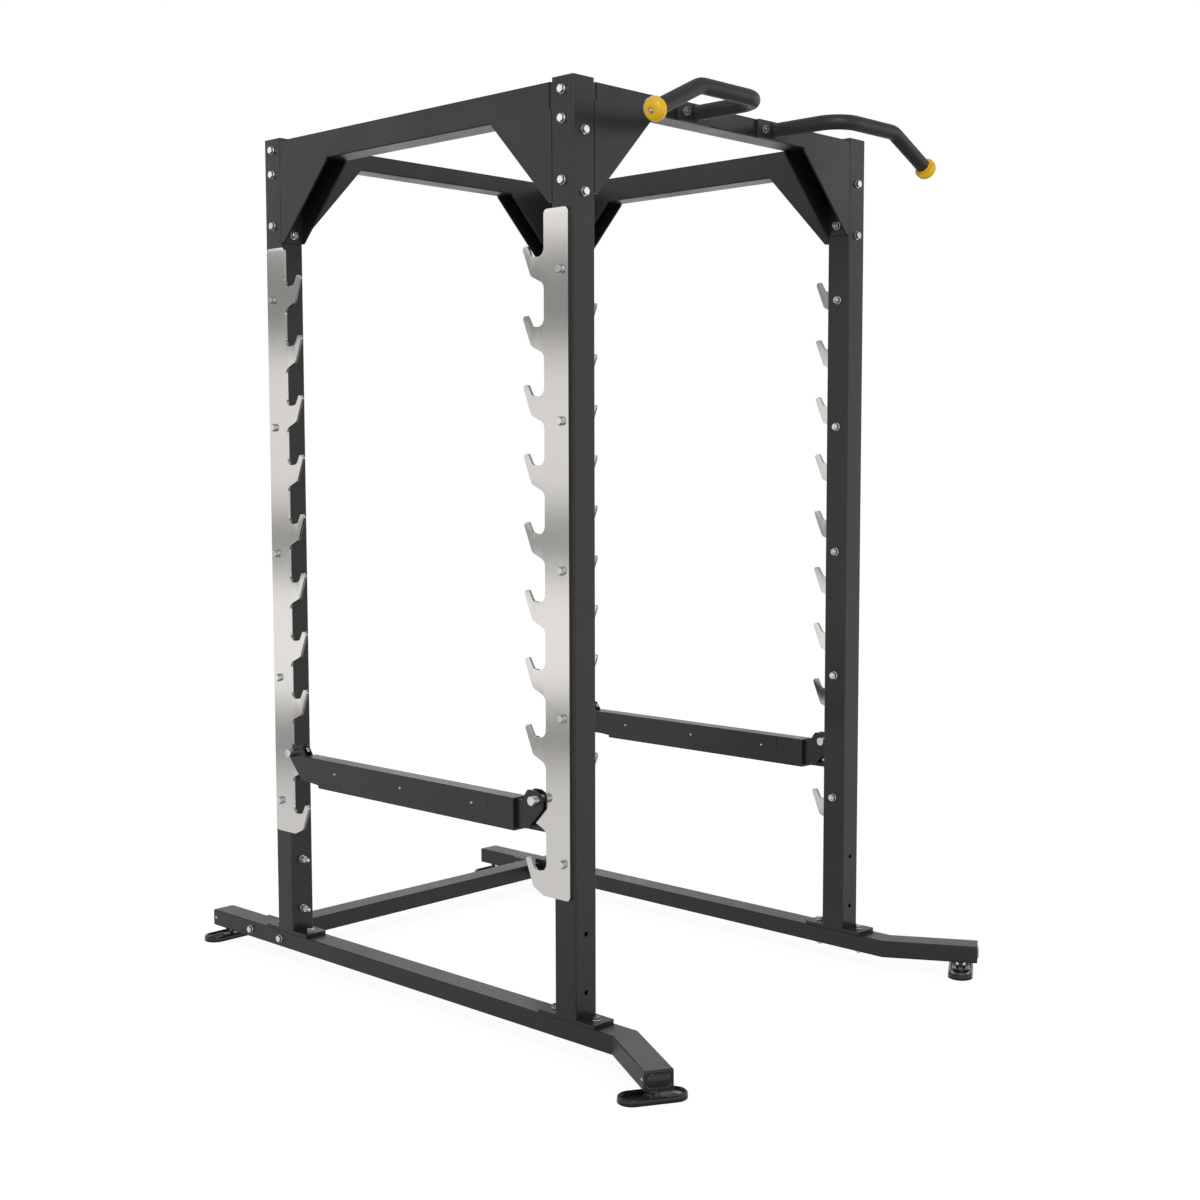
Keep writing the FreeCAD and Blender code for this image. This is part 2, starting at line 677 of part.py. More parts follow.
def pull_up_handle(side):
    """Bent round tube welded to a flange."""
    corners = [(handle_corner(side, number), handle_bend) for number in range(4)]
    route = rounded_path(corners, False)
    skins = []
    for radius in (handle_radius, handle_radius - handle_wall):
        circle = Part.Wire(Part.makeCircle(radius, handle_corner(side, 0), Vector(0, -1, 0)))
        skins.append(route.makePipeShell([circle], True, True))
    flange_outline = rectangle(side * handle_leg_place, cross_beam_middle, handle_flange_length, cross_beam_height, 6)
    flange_back = -cage_depth / 2
    flange = prism(flange_outline, "y", flange_back, flange_back - handle_flange_thickness)
    holes = []
    for step in (-1, 1):
        x = side * handle_leg_place + step * handle_bolt_pitch / 2
        start = Vector(x, flange_back + 1, cross_beam_middle)
        holes.append(rod(start, Vector(0, -1, 0), bolt_hole_radius, handle_flange_thickness + 2))
    return skins[0].cut(skins[1]).fuse(flange).cut(holes)


def handle_bolt_holes():
    """Holes through the front beam for the bolts of both handles."""
    holes = []
    for place in (-handle_leg_place, handle_leg_place):
        for step in (-1, 1):
            start = Vector(place + step * handle_bolt_pitch / 2, -cage_depth / 2 - 1, cross_beam_middle)
            holes.append(rod(start, Vector(0, 1, 0), bolt_hole_radius, upright_size + 2))
    return holes


def grip_way(side):
    """Way out of the open end of a handle."""
    return (handle_corner(side, 3) - handle_corner(side, 2)).normalize()


def handle_knob():
    """Domed plastic end cap about +Z: its rim on z = 0 and its plug below."""
    hole = knob_screw_radius + slip_clearance
    recess = knob_screw_head + slip_clearance
    plug = handle_radius - handle_wall - slip_clearance
    return turned_part([
        (hole, -knob_plug, 0),
        (plug, -knob_plug, 0),
        (plug, 0, 0),
        (knob_rim_radius, 0, 1),
        (knob_rim_radius, knob_rim_length, 1),
        (knob_radius, knob_rim_length, 4),
        (knob_radius, knob_length - 5, 12),
        (recess + 2, knob_length, 10),
        (recess, knob_length, 0),
        (recess, knob_length - 3.5, 0),
        (hole, knob_length - 3.5, 0),
    ])


# ---------------------------------------------------------------- assembly

nodes = {}
for joint in ("beam", "rack", "base", "cross_member", "handle", "rear_upright"):
    for kind in ("bolts", "washers", "nuts"):
        nodes[joint + "_" + kind] = []

sides = (("left", -1), ("right", 1))
ends = (("front", -1), ("rear", 1))
rack_heights, cross_heights = bolt_heights_across()
side_heights = bolt_heights_along()

group_names = (
    "upright_top_caps", "rail_end_caps", "rail_cap_screws", "foot_studs", "foot_lock_nuts",
    "foot_weld_nuts", "handle_knobs", "handle_knob_screws",
)
for name in group_names:
    nodes[name] = []

for end_name, end in ends:
    cross_y = end * (cage_depth - upright_size) / 2
    nodes[end_name + "_beam"] = [
        gusseted_beam("x", cross_y, cross_beam_height, cross_plate_height, cross_gusset_run, cross_heights)
    ]
    for side_name, side in sides:
        place = end_name + "_" + side_name
        out_x = Vector(side, 0, 0)
        out_y = Vector(0, end, 0)
        nodes["upright_" + place] = [upright(side, end)]
        nodes["rack_plate_" + place] = [rack_plate(side, end)]
        nodes["foot_pad_" + place] = [foot_pad(side, end)]
        nodes["upright_top_caps"].append(top_cap(side, end))
        nodes["foot_studs"].append(foot_stud(side, end))
        nodes["foot_lock_nuts"].append(foot_nut(side, end, rail_clearance - stud_nut_height, stud_nut_height))
        nodes["foot_weld_nuts"].append(foot_nut(side, end, rail_clearance + tube_wall, 1.5 * stud_nut_height))
        nodes["rail_end_caps"].append(placed(end_cap(), rail_end(side, end), rail_way(side, end)))
        screw_spot, screw_way = cap_screw_place(side, end)
        screw = button_screw(cap_screw_radius, cap_screw_head, tube_wall + slip_clearance)
        nodes["rail_cap_screws"].append(placed(screw, screw_spot, screw_way))
        for height in rack_heights:
            spot = Vector(side * (cage_width / 2 + rack_thickness), end * upright_y, height)
            bolt_set("rack", spot, out_x, upright_size + rack_thickness, bolt_tail)
        for height in cross_heights:
            spot = Vector(side * cage_width / 2, end * upright_y, height)
            bolt_set("beam", spot, out_x, upright_size + end_plate_thickness, bolt_tail)
        for height in side_heights:
            spot = Vector(side * upright_x, end * cage_depth / 2, height)
            bolt_set("beam", spot, out_y, upright_size + end_plate_thickness, bolt_tail)
        for step in (-1, 1):
            spot = Vector(side * upright_x, end * upright_y + step * base_bolt_pitch / 2, upright_foot)
            bolt_set("base", spot, UP, base_plate_thickness + rail_height, bolt_tail)

for side_name, side in sides:
    x = side * upright_x
    nodes["side_beam_" + side_name] = [
        gusseted_beam("y", x, side_beam_height, side_plate_height, side_gusset_run, side_heights)
    ]
    nodes["base_rail_" + side_name] = [base_rail(side)]
    nodes["pull_up_handle_" + side_name] = [pull_up_handle(side)]
    nodes["handle_knobs"].append(placed(handle_knob(), handle_corner(side, 3), grip_way(side)))
    knob_screw = button_screw(knob_screw_radius, knob_screw_head, knob_length + knob_plug - 10)
    screw_spot = handle_corner(side, 3) + grip_way(side) * (knob_length - 3.5)
    nodes["handle_knob_screws"].append(placed(knob_screw, screw_spot, grip_way(side)))
    nodes["safety_arm_" + side_name] = [safety_arm(side)]
    nodes["safety_pins_" + side_name] = [safety_pin(side, -1), safety_pin(side, 1)]
    arm_screw = button_screw(arm_screw_radius, arm_screw_head, arm_wall + slip_clearance)
    nodes["safety_arm_screws_" + side_name] = [
        placed(arm_screw, spot, way) for spot, way in arm_screw_places(side)
    ]
    for step in (-1, 1):
        spot = Vector(side * (upright_x + rail_width / 2), cross_member_y + step * cross_bolt_pitch / 2, rail_middle)
        bolt_set("cross_member", spot, Vector(side, 0, 0), rail_width + end_plate_thickness, bolt_tail)
        face = -cage_depth / 2 - handle_flange_thickness
        spot = Vector(side * handle_leg_place + step * handle_bolt_pitch / 2, face, cross_beam_middle)
        bolt_set("handle", spot, Vector(0, -1, 0), handle_flange_thickness + upright_size, bolt_tail)
    for height in spare_hole_heights:
        spot = Vector(x, cage_depth / 2, height)
        bolt_set("rear_upright", spot, Vector(0, 1, 0), upright_size, storage_tail)

nodes["base_cross_member"] = [base_cross_member()]
nodes["front_beam"] = [nodes["front_beam"][0].cut(handle_bolt_holes())]

os.makedirs("parts", exist_ok=True)
for name, solids in nodes.items():
    shape = solids[0] if len(solids) == 1 else Part.makeCompound(solids)
    shape = shape.translated(Vector(0, -origin_y, 0))
    if not shape.isValid() or len(shape.Solids) != len(solids):
        raise RuntimeError(name + " did not come out as whole solids")
    shape.exportStep("parts/" + name + ".step")
print(len(nodes), "nodes; origin", round(origin_y, 3), "mm behind the middle of the cage")
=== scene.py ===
import bmesh
import bpy
import json
import math
from mathutils import Matrix, Vector

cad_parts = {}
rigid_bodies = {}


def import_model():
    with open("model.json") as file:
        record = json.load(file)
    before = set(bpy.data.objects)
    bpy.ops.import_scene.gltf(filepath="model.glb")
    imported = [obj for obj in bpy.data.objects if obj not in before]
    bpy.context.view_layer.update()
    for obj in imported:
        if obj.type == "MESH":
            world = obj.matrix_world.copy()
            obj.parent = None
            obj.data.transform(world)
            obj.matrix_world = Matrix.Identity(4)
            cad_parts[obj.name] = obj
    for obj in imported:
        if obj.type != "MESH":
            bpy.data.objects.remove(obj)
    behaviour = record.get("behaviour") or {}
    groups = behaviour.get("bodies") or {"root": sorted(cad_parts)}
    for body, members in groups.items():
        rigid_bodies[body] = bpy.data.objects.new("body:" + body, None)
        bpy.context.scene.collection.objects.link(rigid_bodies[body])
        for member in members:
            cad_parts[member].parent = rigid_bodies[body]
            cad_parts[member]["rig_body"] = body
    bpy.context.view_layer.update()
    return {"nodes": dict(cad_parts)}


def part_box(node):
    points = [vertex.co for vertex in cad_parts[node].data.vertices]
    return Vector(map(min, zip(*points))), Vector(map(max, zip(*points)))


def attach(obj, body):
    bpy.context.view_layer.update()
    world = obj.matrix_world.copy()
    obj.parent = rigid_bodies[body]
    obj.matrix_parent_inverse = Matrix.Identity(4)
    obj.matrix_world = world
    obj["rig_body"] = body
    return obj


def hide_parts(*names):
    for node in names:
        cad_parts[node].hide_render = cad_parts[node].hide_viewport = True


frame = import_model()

# ---- Camera
# It stands off the front left corner of the cage at head height, and looks a little down at about
# the middle of the posts.
camera_data = bpy.data.cameras.new("camera")
camera_data.sensor_width = 36.0
camera_data.lens = 50.73
camera = bpy.data.objects.new("camera", camera_data)
bpy.context.scene.collection.objects.link(camera)
heading = Matrix.Rotation(-0.81196, 4, "Z")
downward_tilt = Matrix.Rotation(math.pi / 2 - 0.08332, 4, "X")
roll = Matrix.Rotation(-0.00191, 4, "Z")
camera.matrix_world = Matrix.Translation((-3.6099, -3.5435, 1.5206)) @ heading @ downward_tilt @ roll
bpy.context.scene.camera = camera
bpy.context.scene.view_settings.view_transform = "Standard"

# ---- Studio
# A white room: an even ambient light, a wide soft lamp in front and one behind, and four long pale cards
# hung level all round the room. The cards only show in reflections, and give the bare steel its sheen.
world = bpy.data.worlds.new("studio")
world.use_nodes = True
bpy.context.scene.world = world


def add_node(tree, kind, settings=None, inputs=None):
    """A new node in a tree, with its settings and the values of its named or numbered inputs."""
    node = tree.nodes.new(kind)
    for name, value in (settings or {}).items():
        setattr(node, name, value)
    for name, value in (inputs or {}).items():
        if isinstance(value, bpy.types.NodeSocket):
            tree.links.new(value, node.inputs[name])
        else:
            node.inputs[name].default_value = value
    return node


def calculate(tree, operation, first, second=0.0):
    """The output of a Math node."""
    node = add_node(tree, "ShaderNodeMath", {"operation": operation}, {0: first, 1: second})
    return node.outputs[0]


def ramp(tree, factor, stops, interpolation="LINEAR"):
    """The colour output of a ramp through (place, grey or colour) stops."""
    node = add_node(tree, "ShaderNodeValToRGB", inputs={0: factor})
    node.color_ramp.interpolation = interpolation
    elements = node.color_ramp.elements
    while len(elements) < len(stops):
        elements.new(1.0)
    for element, (place, tone) in zip(elements, stops):
        element.position = place
        element.color = (tone, tone, tone, 1.0) if isinstance(tone, float) else (*tone, 1.0)
    return node.outputs[0]


room = world.node_tree
room.nodes.clear()
ray = add_node(room, "ShaderNodeLightPath")
direction = add_node(room, "ShaderNodeTexCoord").outputs["Generated"]
parts = add_node(room, "ShaderNodeSeparateXYZ", inputs={0: direction})
height_angle = calculate(room, "ARCSINE", parts.outputs[2])
room_reach = 60.0
card_place = add_node(room, "ShaderNodeMapRange", inputs={
    0: height_angle, 1: math.radians(-room_reach), 2: math.radians(room_reach)}).outputs[0]
room_tone = 0.22
card_fade = 1.5
tones = [(-room_reach, 0.12)]
level_cards = ((-14.0, 3.0, 0.55), (-6.0, 1.5, 0.75), (1.0, 2.0, 0.65), (11.0, 3.0, 0.80))
for card_middle, card_half_height, card_tone in level_cards:
    tones.append((card_middle - card_half_height - card_fade, room_tone))
    tones.append((card_middle - card_half_height, card_tone))
    tones.append((card_middle + card_half_height, card_tone))
    tones.append((card_middle + card_half_height + card_fade, room_tone))
tones.append((room_reach, 0.28))
cards = ramp(room, card_place, [((angle + room_reach) / (2 * room_reach), tone) for angle, tone in tones])
mirrored = add_node(room, "ShaderNodeBackground", inputs={"Color": cards, "Strength": 1.64})
ambient = add_node(room, "ShaderNodeBackground", inputs={"Color": (1.0, 1.0, 1.0, 1.0), "Strength": 0.62})
backdrop = add_node(room, "ShaderNodeBackground", inputs={"Color": (1.0, 1.0, 1.0, 1.0), "Strength": 1.0})
for_objects = add_node(room, "ShaderNodeMixShader",
                       inputs={0: ray.outputs["Is Glossy Ray"], 1: ambient.outputs[0],
                               2: mirrored.outputs[0]})
seen = add_node(room, "ShaderNodeMixShader",
                inputs={0: ray.outputs["Is Camera Ray"], 1: for_objects.outputs[0], 2: backdrop.outputs[0]})
add_node(room, "ShaderNodeOutputWorld", inputs={0: seen.outputs[0]})


def soft_lamp(name, place, target, size, power):
    """A square area lamp aimed at a point."""
    data = bpy.data.lights.new(name, "AREA")
    data.size = size
    data.energy = power
    lamp = bpy.data.objects.new(name, data)
    bpy.context.scene.collection.objects.link(lamp)
    aim = (Vector(target) - Vector(place)).to_track_quat("-Z", "Y")
    lamp.matrix_world = Matrix.Translation(place) @ aim.to_matrix().to_4x4()
    lamp.visible_camera = False
    return lamp


soft_lamp("front_lamp", (-2.6, -4.0, 4.4), (0.0, 0.0, 1.2), 2.4, 62.0)
soft_lamp("rear_lamp", (3.2, 3.6, 4.0), (0.0, 0.0, 1.4), 2.0, 26.0)

floor_mesh = bpy.data.meshes.new("floor")
floor_form = bmesh.new()
bmesh.ops.create_grid(floor_form, x_segments=2, y_segments=2, size=14.0)
floor_form.to_mesh(floor_mesh)
floor_form.free()
floor = bpy.data.objects.new("floor", floor_mesh)
bpy.context.scene.collection.objects.link(floor)
floor.visible_glossy = False
floor_paint = bpy.data.materials.new("floor_paint")
floor_paint.use_nodes = True
floor_tree = floor_paint.node_tree
floor_tree.nodes.clear()
matt = add_node(floor_tree, "ShaderNodeBsdfDiffuse", inputs={"Color": (0.86, 0.86, 0.86, 1.0)})
glow = add_node(floor_tree, "ShaderNodeEmission", inputs={"Color": (1.0, 1.0, 1.0, 1.0), "Strength": 1.10})
floor_ray = add_node(floor_tree, "ShaderNodeLightPath")
glow_share = calculate(floor_tree, "MULTIPLY", floor_ray.outputs["Is Camera Ray"], 0.84)
floor_finish = add_node(floor_tree, "ShaderNodeMixShader",
                        inputs={0: glow_share, 1: matt.outputs[0], 2: glow.outputs[0]})
add_node(floor_tree, "ShaderNodeOutputMaterial", inputs={0: floor_finish.outputs[0]})
floor_mesh.materials.append(floor_paint)

# ---- Uprights
# Four posts of square steel tube with rounded corners, each welded to a foot plate. They are powder
# coated charcoal: a half-gloss film with a fine orange peel, a little uneven in its gloss.


def surface(name, colour, roughness, metallic=0.0):
    """A new material with its shader, object coordinates and output."""
    material = bpy.data.materials.new(name)
    material.use_nodes = True
    tree = material.node_tree
    shader = tree.nodes["Principled BSDF"]
    shader.inputs["Base Color"].default_value = (*colour, 1.0)
    shader.inputs["Roughness"].default_value = roughness
    shader.inputs["Metallic"].default_value = metallic
    place = add_node(tree, "ShaderNodeTexCoord").outputs["Object"]
    return material, tree, shader, place


def grain(tree, place, scale, detail=3.0, stretch=None):
    """The output of a noise texture on the object's own coordinates."""
    if stretch:
        place = add_node(tree, "ShaderNodeMapping", inputs={"Vector": place, "Scale": stretch}).outputs[0]
    noise = add_node(tree, "ShaderNodeTexNoise", inputs={"Vector": place, "Scale": scale, "Detail": detail})
    return noise.outputs["Fac"]


def spread(tree, factor, low, high, start=0.3, end=0.7):
    """A noise output spread over a range of values."""
    return add_node(tree, "ShaderNodeMapRange",
                    inputs={0: factor, 1: start, 2: end, 3: low, 4: high}).outputs[0]


def tint(tree, factor, first, second):
    """A colour between two, by a factor."""
    return add_node(tree, "ShaderNodeMixRGB",
                    inputs={0: factor, 1: (*first, 1.0), 2: (*second, 1.0)}).outputs[0]


def raise_surface(tree, shader, height, strength, distance):
    """Bumps a shader's surface by a height output."""
    bump = add_node(tree, "ShaderNodeBump",
                    inputs={"Height": height, "Strength": strength, "Distance": distance})
    tree.links.new(bump.outputs[0], shader.inputs["Normal"])


frame_paint, tree, shader, place = surface("frame_paint", (0.013, 0.013, 0.013), 0.30)
cloud = grain(tree, place, 5.0, 4.0)
peel = grain(tree, place, 520.0, 2.0)
paint_colour = tint(tree, cloud, (0.0108, 0.0105, 0.0098), (0.0158, 0.0152, 0.0142))
tree.links.new(paint_colour, shader.inputs["Base Color"])
tree.links.new(spread(tree, cloud, 0.26, 0.36), shader.inputs["Roughness"])
raise_surface(tree, shader, peel, 0.16, 0.0004)


def eased(node, edge_radius, material, crease=26.0):
    """A copy of a CAD node with its sharp edges rolled over by a radius, standing for that node."""
    source = frame["nodes"][node]
    form = bmesh.new()
    form.from_mesh(source.data)
    bmesh.ops.remove_doubles(form, verts=form.verts, dist=1e-6)
    bmesh.ops.dissolve_limit(form, angle_limit=math.radians(0.4), verts=form.verts, edges=form.edges)
    sharp = []
    for edge in form.edges:
        if len(edge.link_faces) == 2 and edge.calc_face_angle(0.0) > math.radians(crease):
            sharp.append(edge)
    bmesh.ops.bevel(form, geom=sharp, offset=edge_radius, segments=2, profile=0.5,
                    affect="EDGES", clamp_overlap=True)
    bmesh.ops.triangulate(form, faces=[face for face in form.faces if len(face.verts) > 4])
    for face in form.faces:
        face.smooth = True
    for edge in form.edges:
        edge.smooth = edge.calc_face_angle(0.0) < math.radians(50)
    mesh = bpy.data.meshes.new(node + "_piece")
    form.to_mesh(mesh)
    form.free()
    mesh.materials.append(material)
    piece = bpy.data.objects.new(node + "_piece", mesh)
    bpy.context.scene.collection.objects.link(piece)
    piece.modifiers.new("flat_faces", "WEIGHTED_NORMAL").keep_sharp = True
    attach(piece, source["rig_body"])
    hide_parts(node)
    return piece


ends = ("front", "rear")
sides = ("left", "right")
for end in ends:
    for side in sides:
        eased(f"upright_{end}_{side}", 0.0007, frame_paint)

# ---- Upright caps
# A thin plastic plug closes the top of each post. It is pushed in flush with the tube, and is as
# dark as the paint.
cap_plastic, tree, shader, place = surface("cap_plastic", (0.016, 0.016, 0.016), 0.42)
tree.links.new(spread(tree, grain(tree, place, 40.0), 0.36, 0.5), shader.inputs["Roughness"])
raise_surface(tree, shader, grain(tree, place, 1400.0, 2.0), 0.2, 0.0002)
eased("upright_top_caps", 0.0012, cap_plastic)

# ---- Top beams
# Rectangular tubes between the posts. Each end has a bolting plate and a flat triangular gusset,
# welded under the tube and coated with it.
for node in ("side_beam_left", "side_beam_right", "front_beam", "rear_beam"):
    eased(node, 0.0007, frame_paint)

# ---- Base
# Two long rails with outriggers mitred on at the front, and a cross-member bolted between them at the
# rear. All are rectangular tube in the same charcoal coat.
for node in ("base_rail_left", "base_rail_right", "base_cross_member"):
    eased(node, 0.0007, frame_paint)

# ---- Rail end caps
# Each open end of a rail is closed by a glossy black moulding with a rounded pillow raised in its face,
# inside a fine groove. A plug holds it and a small screw from the outer side locks it.


def gather(form):
    """The separate solids of a merged mesh, as lists of vertices."""
    found = []
    reached = set()
    for start in form.verts:
        if start in reached:
            continue
        reached.add(start)
        waiting = [start]
        solid = []
        while waiting:
            corner = waiting.pop()
            solid.append(corner)
            for edge in corner.link_edges:
                other = edge.other_vert(corner)
                if other not in reached:
                    reached.add(other)
                    waiting.append(other)
        found.append(solid)
    return found


def solids_of(node):
    """The corner points of each separate solid of a CAD node."""
    form = bmesh.new()
    form.from_mesh(frame["nodes"][node].data)
    bmesh.ops.remove_doubles(form, verts=form.verts, dist=1e-6)
    solids = [[corner.co.copy() for corner in solid] for solid in gather(form)]
    form.free()
    return solids


def middle_of(points):
    """The middle of the box round some points."""
    low = Vector([min(point[axis] for point in points) for axis in range(3)])
    high = Vector([max(point[axis] for point in points) for axis in range(3)])
    return (low + high) / 2


def rounded_ring(length, width, corner, inset, steps=8):
    """Points round a rounded rectangle, moved inwards by an inset."""
    half_length = length / 2 - inset
    half_width = width / 2 - inset
    radius = min(max(corner - inset, 0.0006), half_width - 0.00001, half_length - 0.00001)
    points = []
    for quarter in range(4):
        turn_x = (1, -1, -1, 1)[quarter]
        turn_y = (1, 1, -1, -1)[quarter]
        for step in range(steps + 1):
            angle = math.radians(90 * quarter + 90 * step / steps)
            x = turn_x * (half_length - radius) + radius * math.cos(angle)
            y = turn_y * (half_width - radius) + radius * math.sin(angle)
            points.append(Vector((x, y, 0.0)))
    return points


def loft(form, rings):
    """Skins closed rings of equally many points, first to last, and closes both ends."""
    rows = [[form.verts.new(point) for point in ring] for ring in rings]
    count = len(rows[0])
    for lower, upper in zip(rows, rows[1:]):
        for index in range(count):
            after = (index + 1) % count
            form.faces.new((lower[index], lower[after], upper[after], upper[index]))
    form.faces.new(list(reversed(rows[0])))
    form.faces.new(rows[-1])


def finish_piece(form, name, material, body, nodes, sharp_angle=35.0):
    """Makes a piece of a bmesh, smooth but for its sharp edges, and hands it to the frame."""
    bmesh.ops.recalc_face_normals(form, faces=form.faces)
    for face in form.faces:
        face.smooth = True
    for edge in form.edges:
        edge.smooth = edge.calc_face_angle(0.0) < math.radians(sharp_angle)
    mesh = bpy.data.meshes.new(name)
    form.to_mesh(mesh)
    form.free()
    mesh.materials.append(material)
    piece = bpy.data.objects.new(name, mesh)
    bpy.context.scene.collection.objects.link(piece)
    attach(piece, body)
    if nodes:
        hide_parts(*nodes)
    return piece


moulded_black, tree, shader, place = surface("moulded_black", (0.008, 0.008, 0.008), 0.16)
tree.links.new(spread(tree, grain(tree, place, 22.0, 4.0), 0.12, 0.24), shader.inputs["Roughness"])
raise_surface(tree, shader, grain(tree, place, 60.0, 1.0), 0.08, 0.001)
shader.inputs["Coat Weight"].default_value = 0.15
shader.inputs["Coat Roughness"].default_value = 0.05

cap_length = 0.075
cap_height = 0.050
cap_rise = 0.006
form = bmesh.new()
for solid in solids_of("rail_end_caps"):
    middle = middle_of(solid)
    low_edge = min(point.z for point in solid)
    high_edge = max(point.z for point in solid)
    lean = 0.0
    if middle.y < 0:
        lean = math.radians(30.0) * (1 if middle.x > 0 else -1)
    out = Vector((math.sin(lean), (1.0 if middle.y > 0 else -1.0) * math.cos(lean), 0.0))
    across = Vector((0.0, 0.0, 1.0)).cross(out)
    reach = max(point.dot(out) for point in solid)
    lateral = (min(point.dot(across) for point in solid) + max(point.dot(across) for point in solid)) / 2
    spot = out * (reach - cap_rise) + across * lateral + Vector((0.0, 0.0, (low_edge + high_edge) / 2))
    turn = Matrix((across, Vector((0.0, 0.0, 1.0)), out)).transposed().to_4x4()
    to_place = Matrix.Translation(spot) @ turn
    rings = []
    for inset, height, corner in (
        (0.0030, -0.0160, 0.004), (0.0030, 0.0, 0.004), (0.0, 0.0, 0.004), (0.0, 0.0010, 0.004),
        (0.0005, 0.0018, 0.004), (0.0014, 0.0023, 0.005), (0.0050, 0.0027, 0.008), (0.0066, 0.0028, 0.010),
        (0.0072, 0.0022, 0.0105), (0.0080, 0.0019, 0.011), (0.0088, 0.0022, 0.0115), (0.0096, 0.0032, 0.012),
        (0.0108, 0.0041, 0.0125), (0.0126, 0.0048, 0.013), (0.0150, 0.0053, 0.0135), (0.0185, 0.0057, 0.014),
        (0.0220, 0.0059, 0.014), (0.0242, 0.0060, 0.014),
    ):
        ring = rounded_ring(cap_length, cap_height, corner + inset, inset)
        rings.append([to_place @ Vector((point.x, point.y, height)) for point in ring])
    loft(form, rings)
finish_piece(form, "rail_end_cap_pieces", moulded_black, "frame", ["rail_end_caps"], 50.0)

# ---- Foot pads
# Long oval feet moulded in glossy black plastic, with a raised rim, a dished floor and a round boss in the
# middle that carries the levelling stud. Each turns on its stud.
pad_length = 0.175
pad_width = 0.072
pad_height = 0.017
for end in ends:
    for side in sides:
        node = f"foot_pad_{end}_{side}"
        low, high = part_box(node)
        middle = (low + high) / 2
        angle = 0.0
        if end == "front":
            angle = math.radians(30.0) * (-1 if side == "left" else 1)
        to_place = Matrix.Translation((middle.x, middle.y, 0.0)) @ Matrix.Rotation(angle, 4, "Z")
        form = bmesh.new()
        rings = []
        for inset, height in (
            (0.0030, 0.0), (0.0008, 0.0006), (0.0, 0.0020), (0.0002, 0.0110), (0.0010, 0.0148),
            (0.0024, 0.0164), (0.0042, pad_height), (0.0060, 0.0168), (0.0072, 0.0160), (0.0082, 0.0140),
            (0.0088, 0.0112), (0.0104, 0.0100), (0.0150, 0.0088), (0.0220, 0.0081), (0.0300, 0.0080),
        ):
            ring = rounded_ring(pad_length, pad_width, pad_width / 2, inset, 14)
            rings.append([to_place @ Vector((point.x, point.y, height)) for point in ring])
        loft(form, rings)
        boss_sides = 48
        boss = []
        for radius, height in (
            (0.0240, 0.0070), (0.0240, 0.0096), (0.0236, 0.0110), (0.0227, 0.0118), (0.0214, 0.0120),
            (0.0150, 0.0120), (0.0085, 0.0120), (0.0085, 0.0100),
        ):
            boss.append([
                to_place @ Vector((
                    radius * math.cos(math.tau * k / boss_sides),
                    radius * math.sin(math.tau * k / boss_sides), height))
                for k in range(boss_sides)
            ])
        loft(form, boss)
        finish_piece(form, node + "_piece", moulded_black, node, [node], 60.0)

# ---- Levelling studs
# Turned from bright zinc-plated hexagon bar: a long hex body to hold a spanner, standing on the pad,
# with a lock nut above it against the rail.
zinc_plate, tree, shader, place = surface("zinc_plate", (0.68, 0.68, 0.69), 0.10, 1.0)
cloud = grain(tree, place, 90.0, 4.0)
tree.links.new(tint(tree, cloud, (0.56, 0.565, 0.575), (0.76, 0.755, 0.74)), shader.inputs["Base Color"])
tree.links.new(spread(tree, cloud, 0.07, 0.16), shader.inputs["Roughness"])
raise_surface(tree, shader, grain(tree, place, 700.0, 2.0), 0.10, 0.0002)
eased("foot_studs", 0.0005, zinc_plate, 22.0)
eased("foot_lock_nuts", 0.0005, zinc_plate, 22.0)
eased("foot_weld_nuts", 0.0005, zinc_plate, 22.0)

# ---- Rack plates
# Ten hooks cut by laser in one stainless plate, 8 mm thick, bolted to the outer side of each post. The faces
# keep a fine vertical brushing. The cut edges of the real plate are brighter and rougher; here they are only
# rolled over a little by a narrow bevel, in the same finish as the faces.
rack_steel, tree, shader, place = surface("rack_steel", (0.62, 0.60, 0.575), 0.08, 1.0)
brushing = grain(tree, place, 26.0, 5.0, (40.0, 40.0, 0.6))
cloud = grain(tree, place, 6.0, 3.0)
tree.links.new(tint(tree, brushing, (0.585, 0.567, 0.545), (0.655, 0.635, 0.61)), shader.inputs["Base Color"])
gloss = calculate(tree, "ADD", spread(tree, brushing, 0.055, 0.085), spread(tree, cloud, 0.0, 0.02))
tree.links.new(gloss, shader.inputs["Roughness"])
raise_surface(tree, shader, brushing, 0.05, 0.0003)
for end in ends:
    for side in sides:
        eased(f"rack_plate_{end}_{side}", 0.0006, rack_steel)

# ---- Safety arms
# Welded box beams with a pair of lugs at each end, in the frame's charcoal coat. The lugs straddle the
# rack plates and carry the pins, so each arm lifts out of one hook and drops into another.
for side in sides:
    eased(f"safety_arm_{side}", 0.0007, frame_paint)

# ---- Safety pins
# Solid round bar, turned bright and chamfered at both ends. One goes through the pair of lugs at
# each end of a safety arm, and is welded to them.
pin_steel, tree, shader, place = surface("pin_steel", (0.78, 0.78, 0.78), 0.14, 1.0)
turning = grain(tree, place, 30.0, 3.0, (90.0, 1.0, 1.0))
tree.links.new(tint(tree, turning, (0.70, 0.70, 0.70), (0.83, 0.83, 0.82)), shader.inputs["Base Color"])
tree.links.new(spread(tree, turning, 0.10, 0.22), shader.inputs["Roughness"])
raise_surface(tree, shader, turning, 0.12, 0.0002)
for side in sides:
    eased(f"safety_pins_{side}", 0.0004, pin_steel, 22.0)

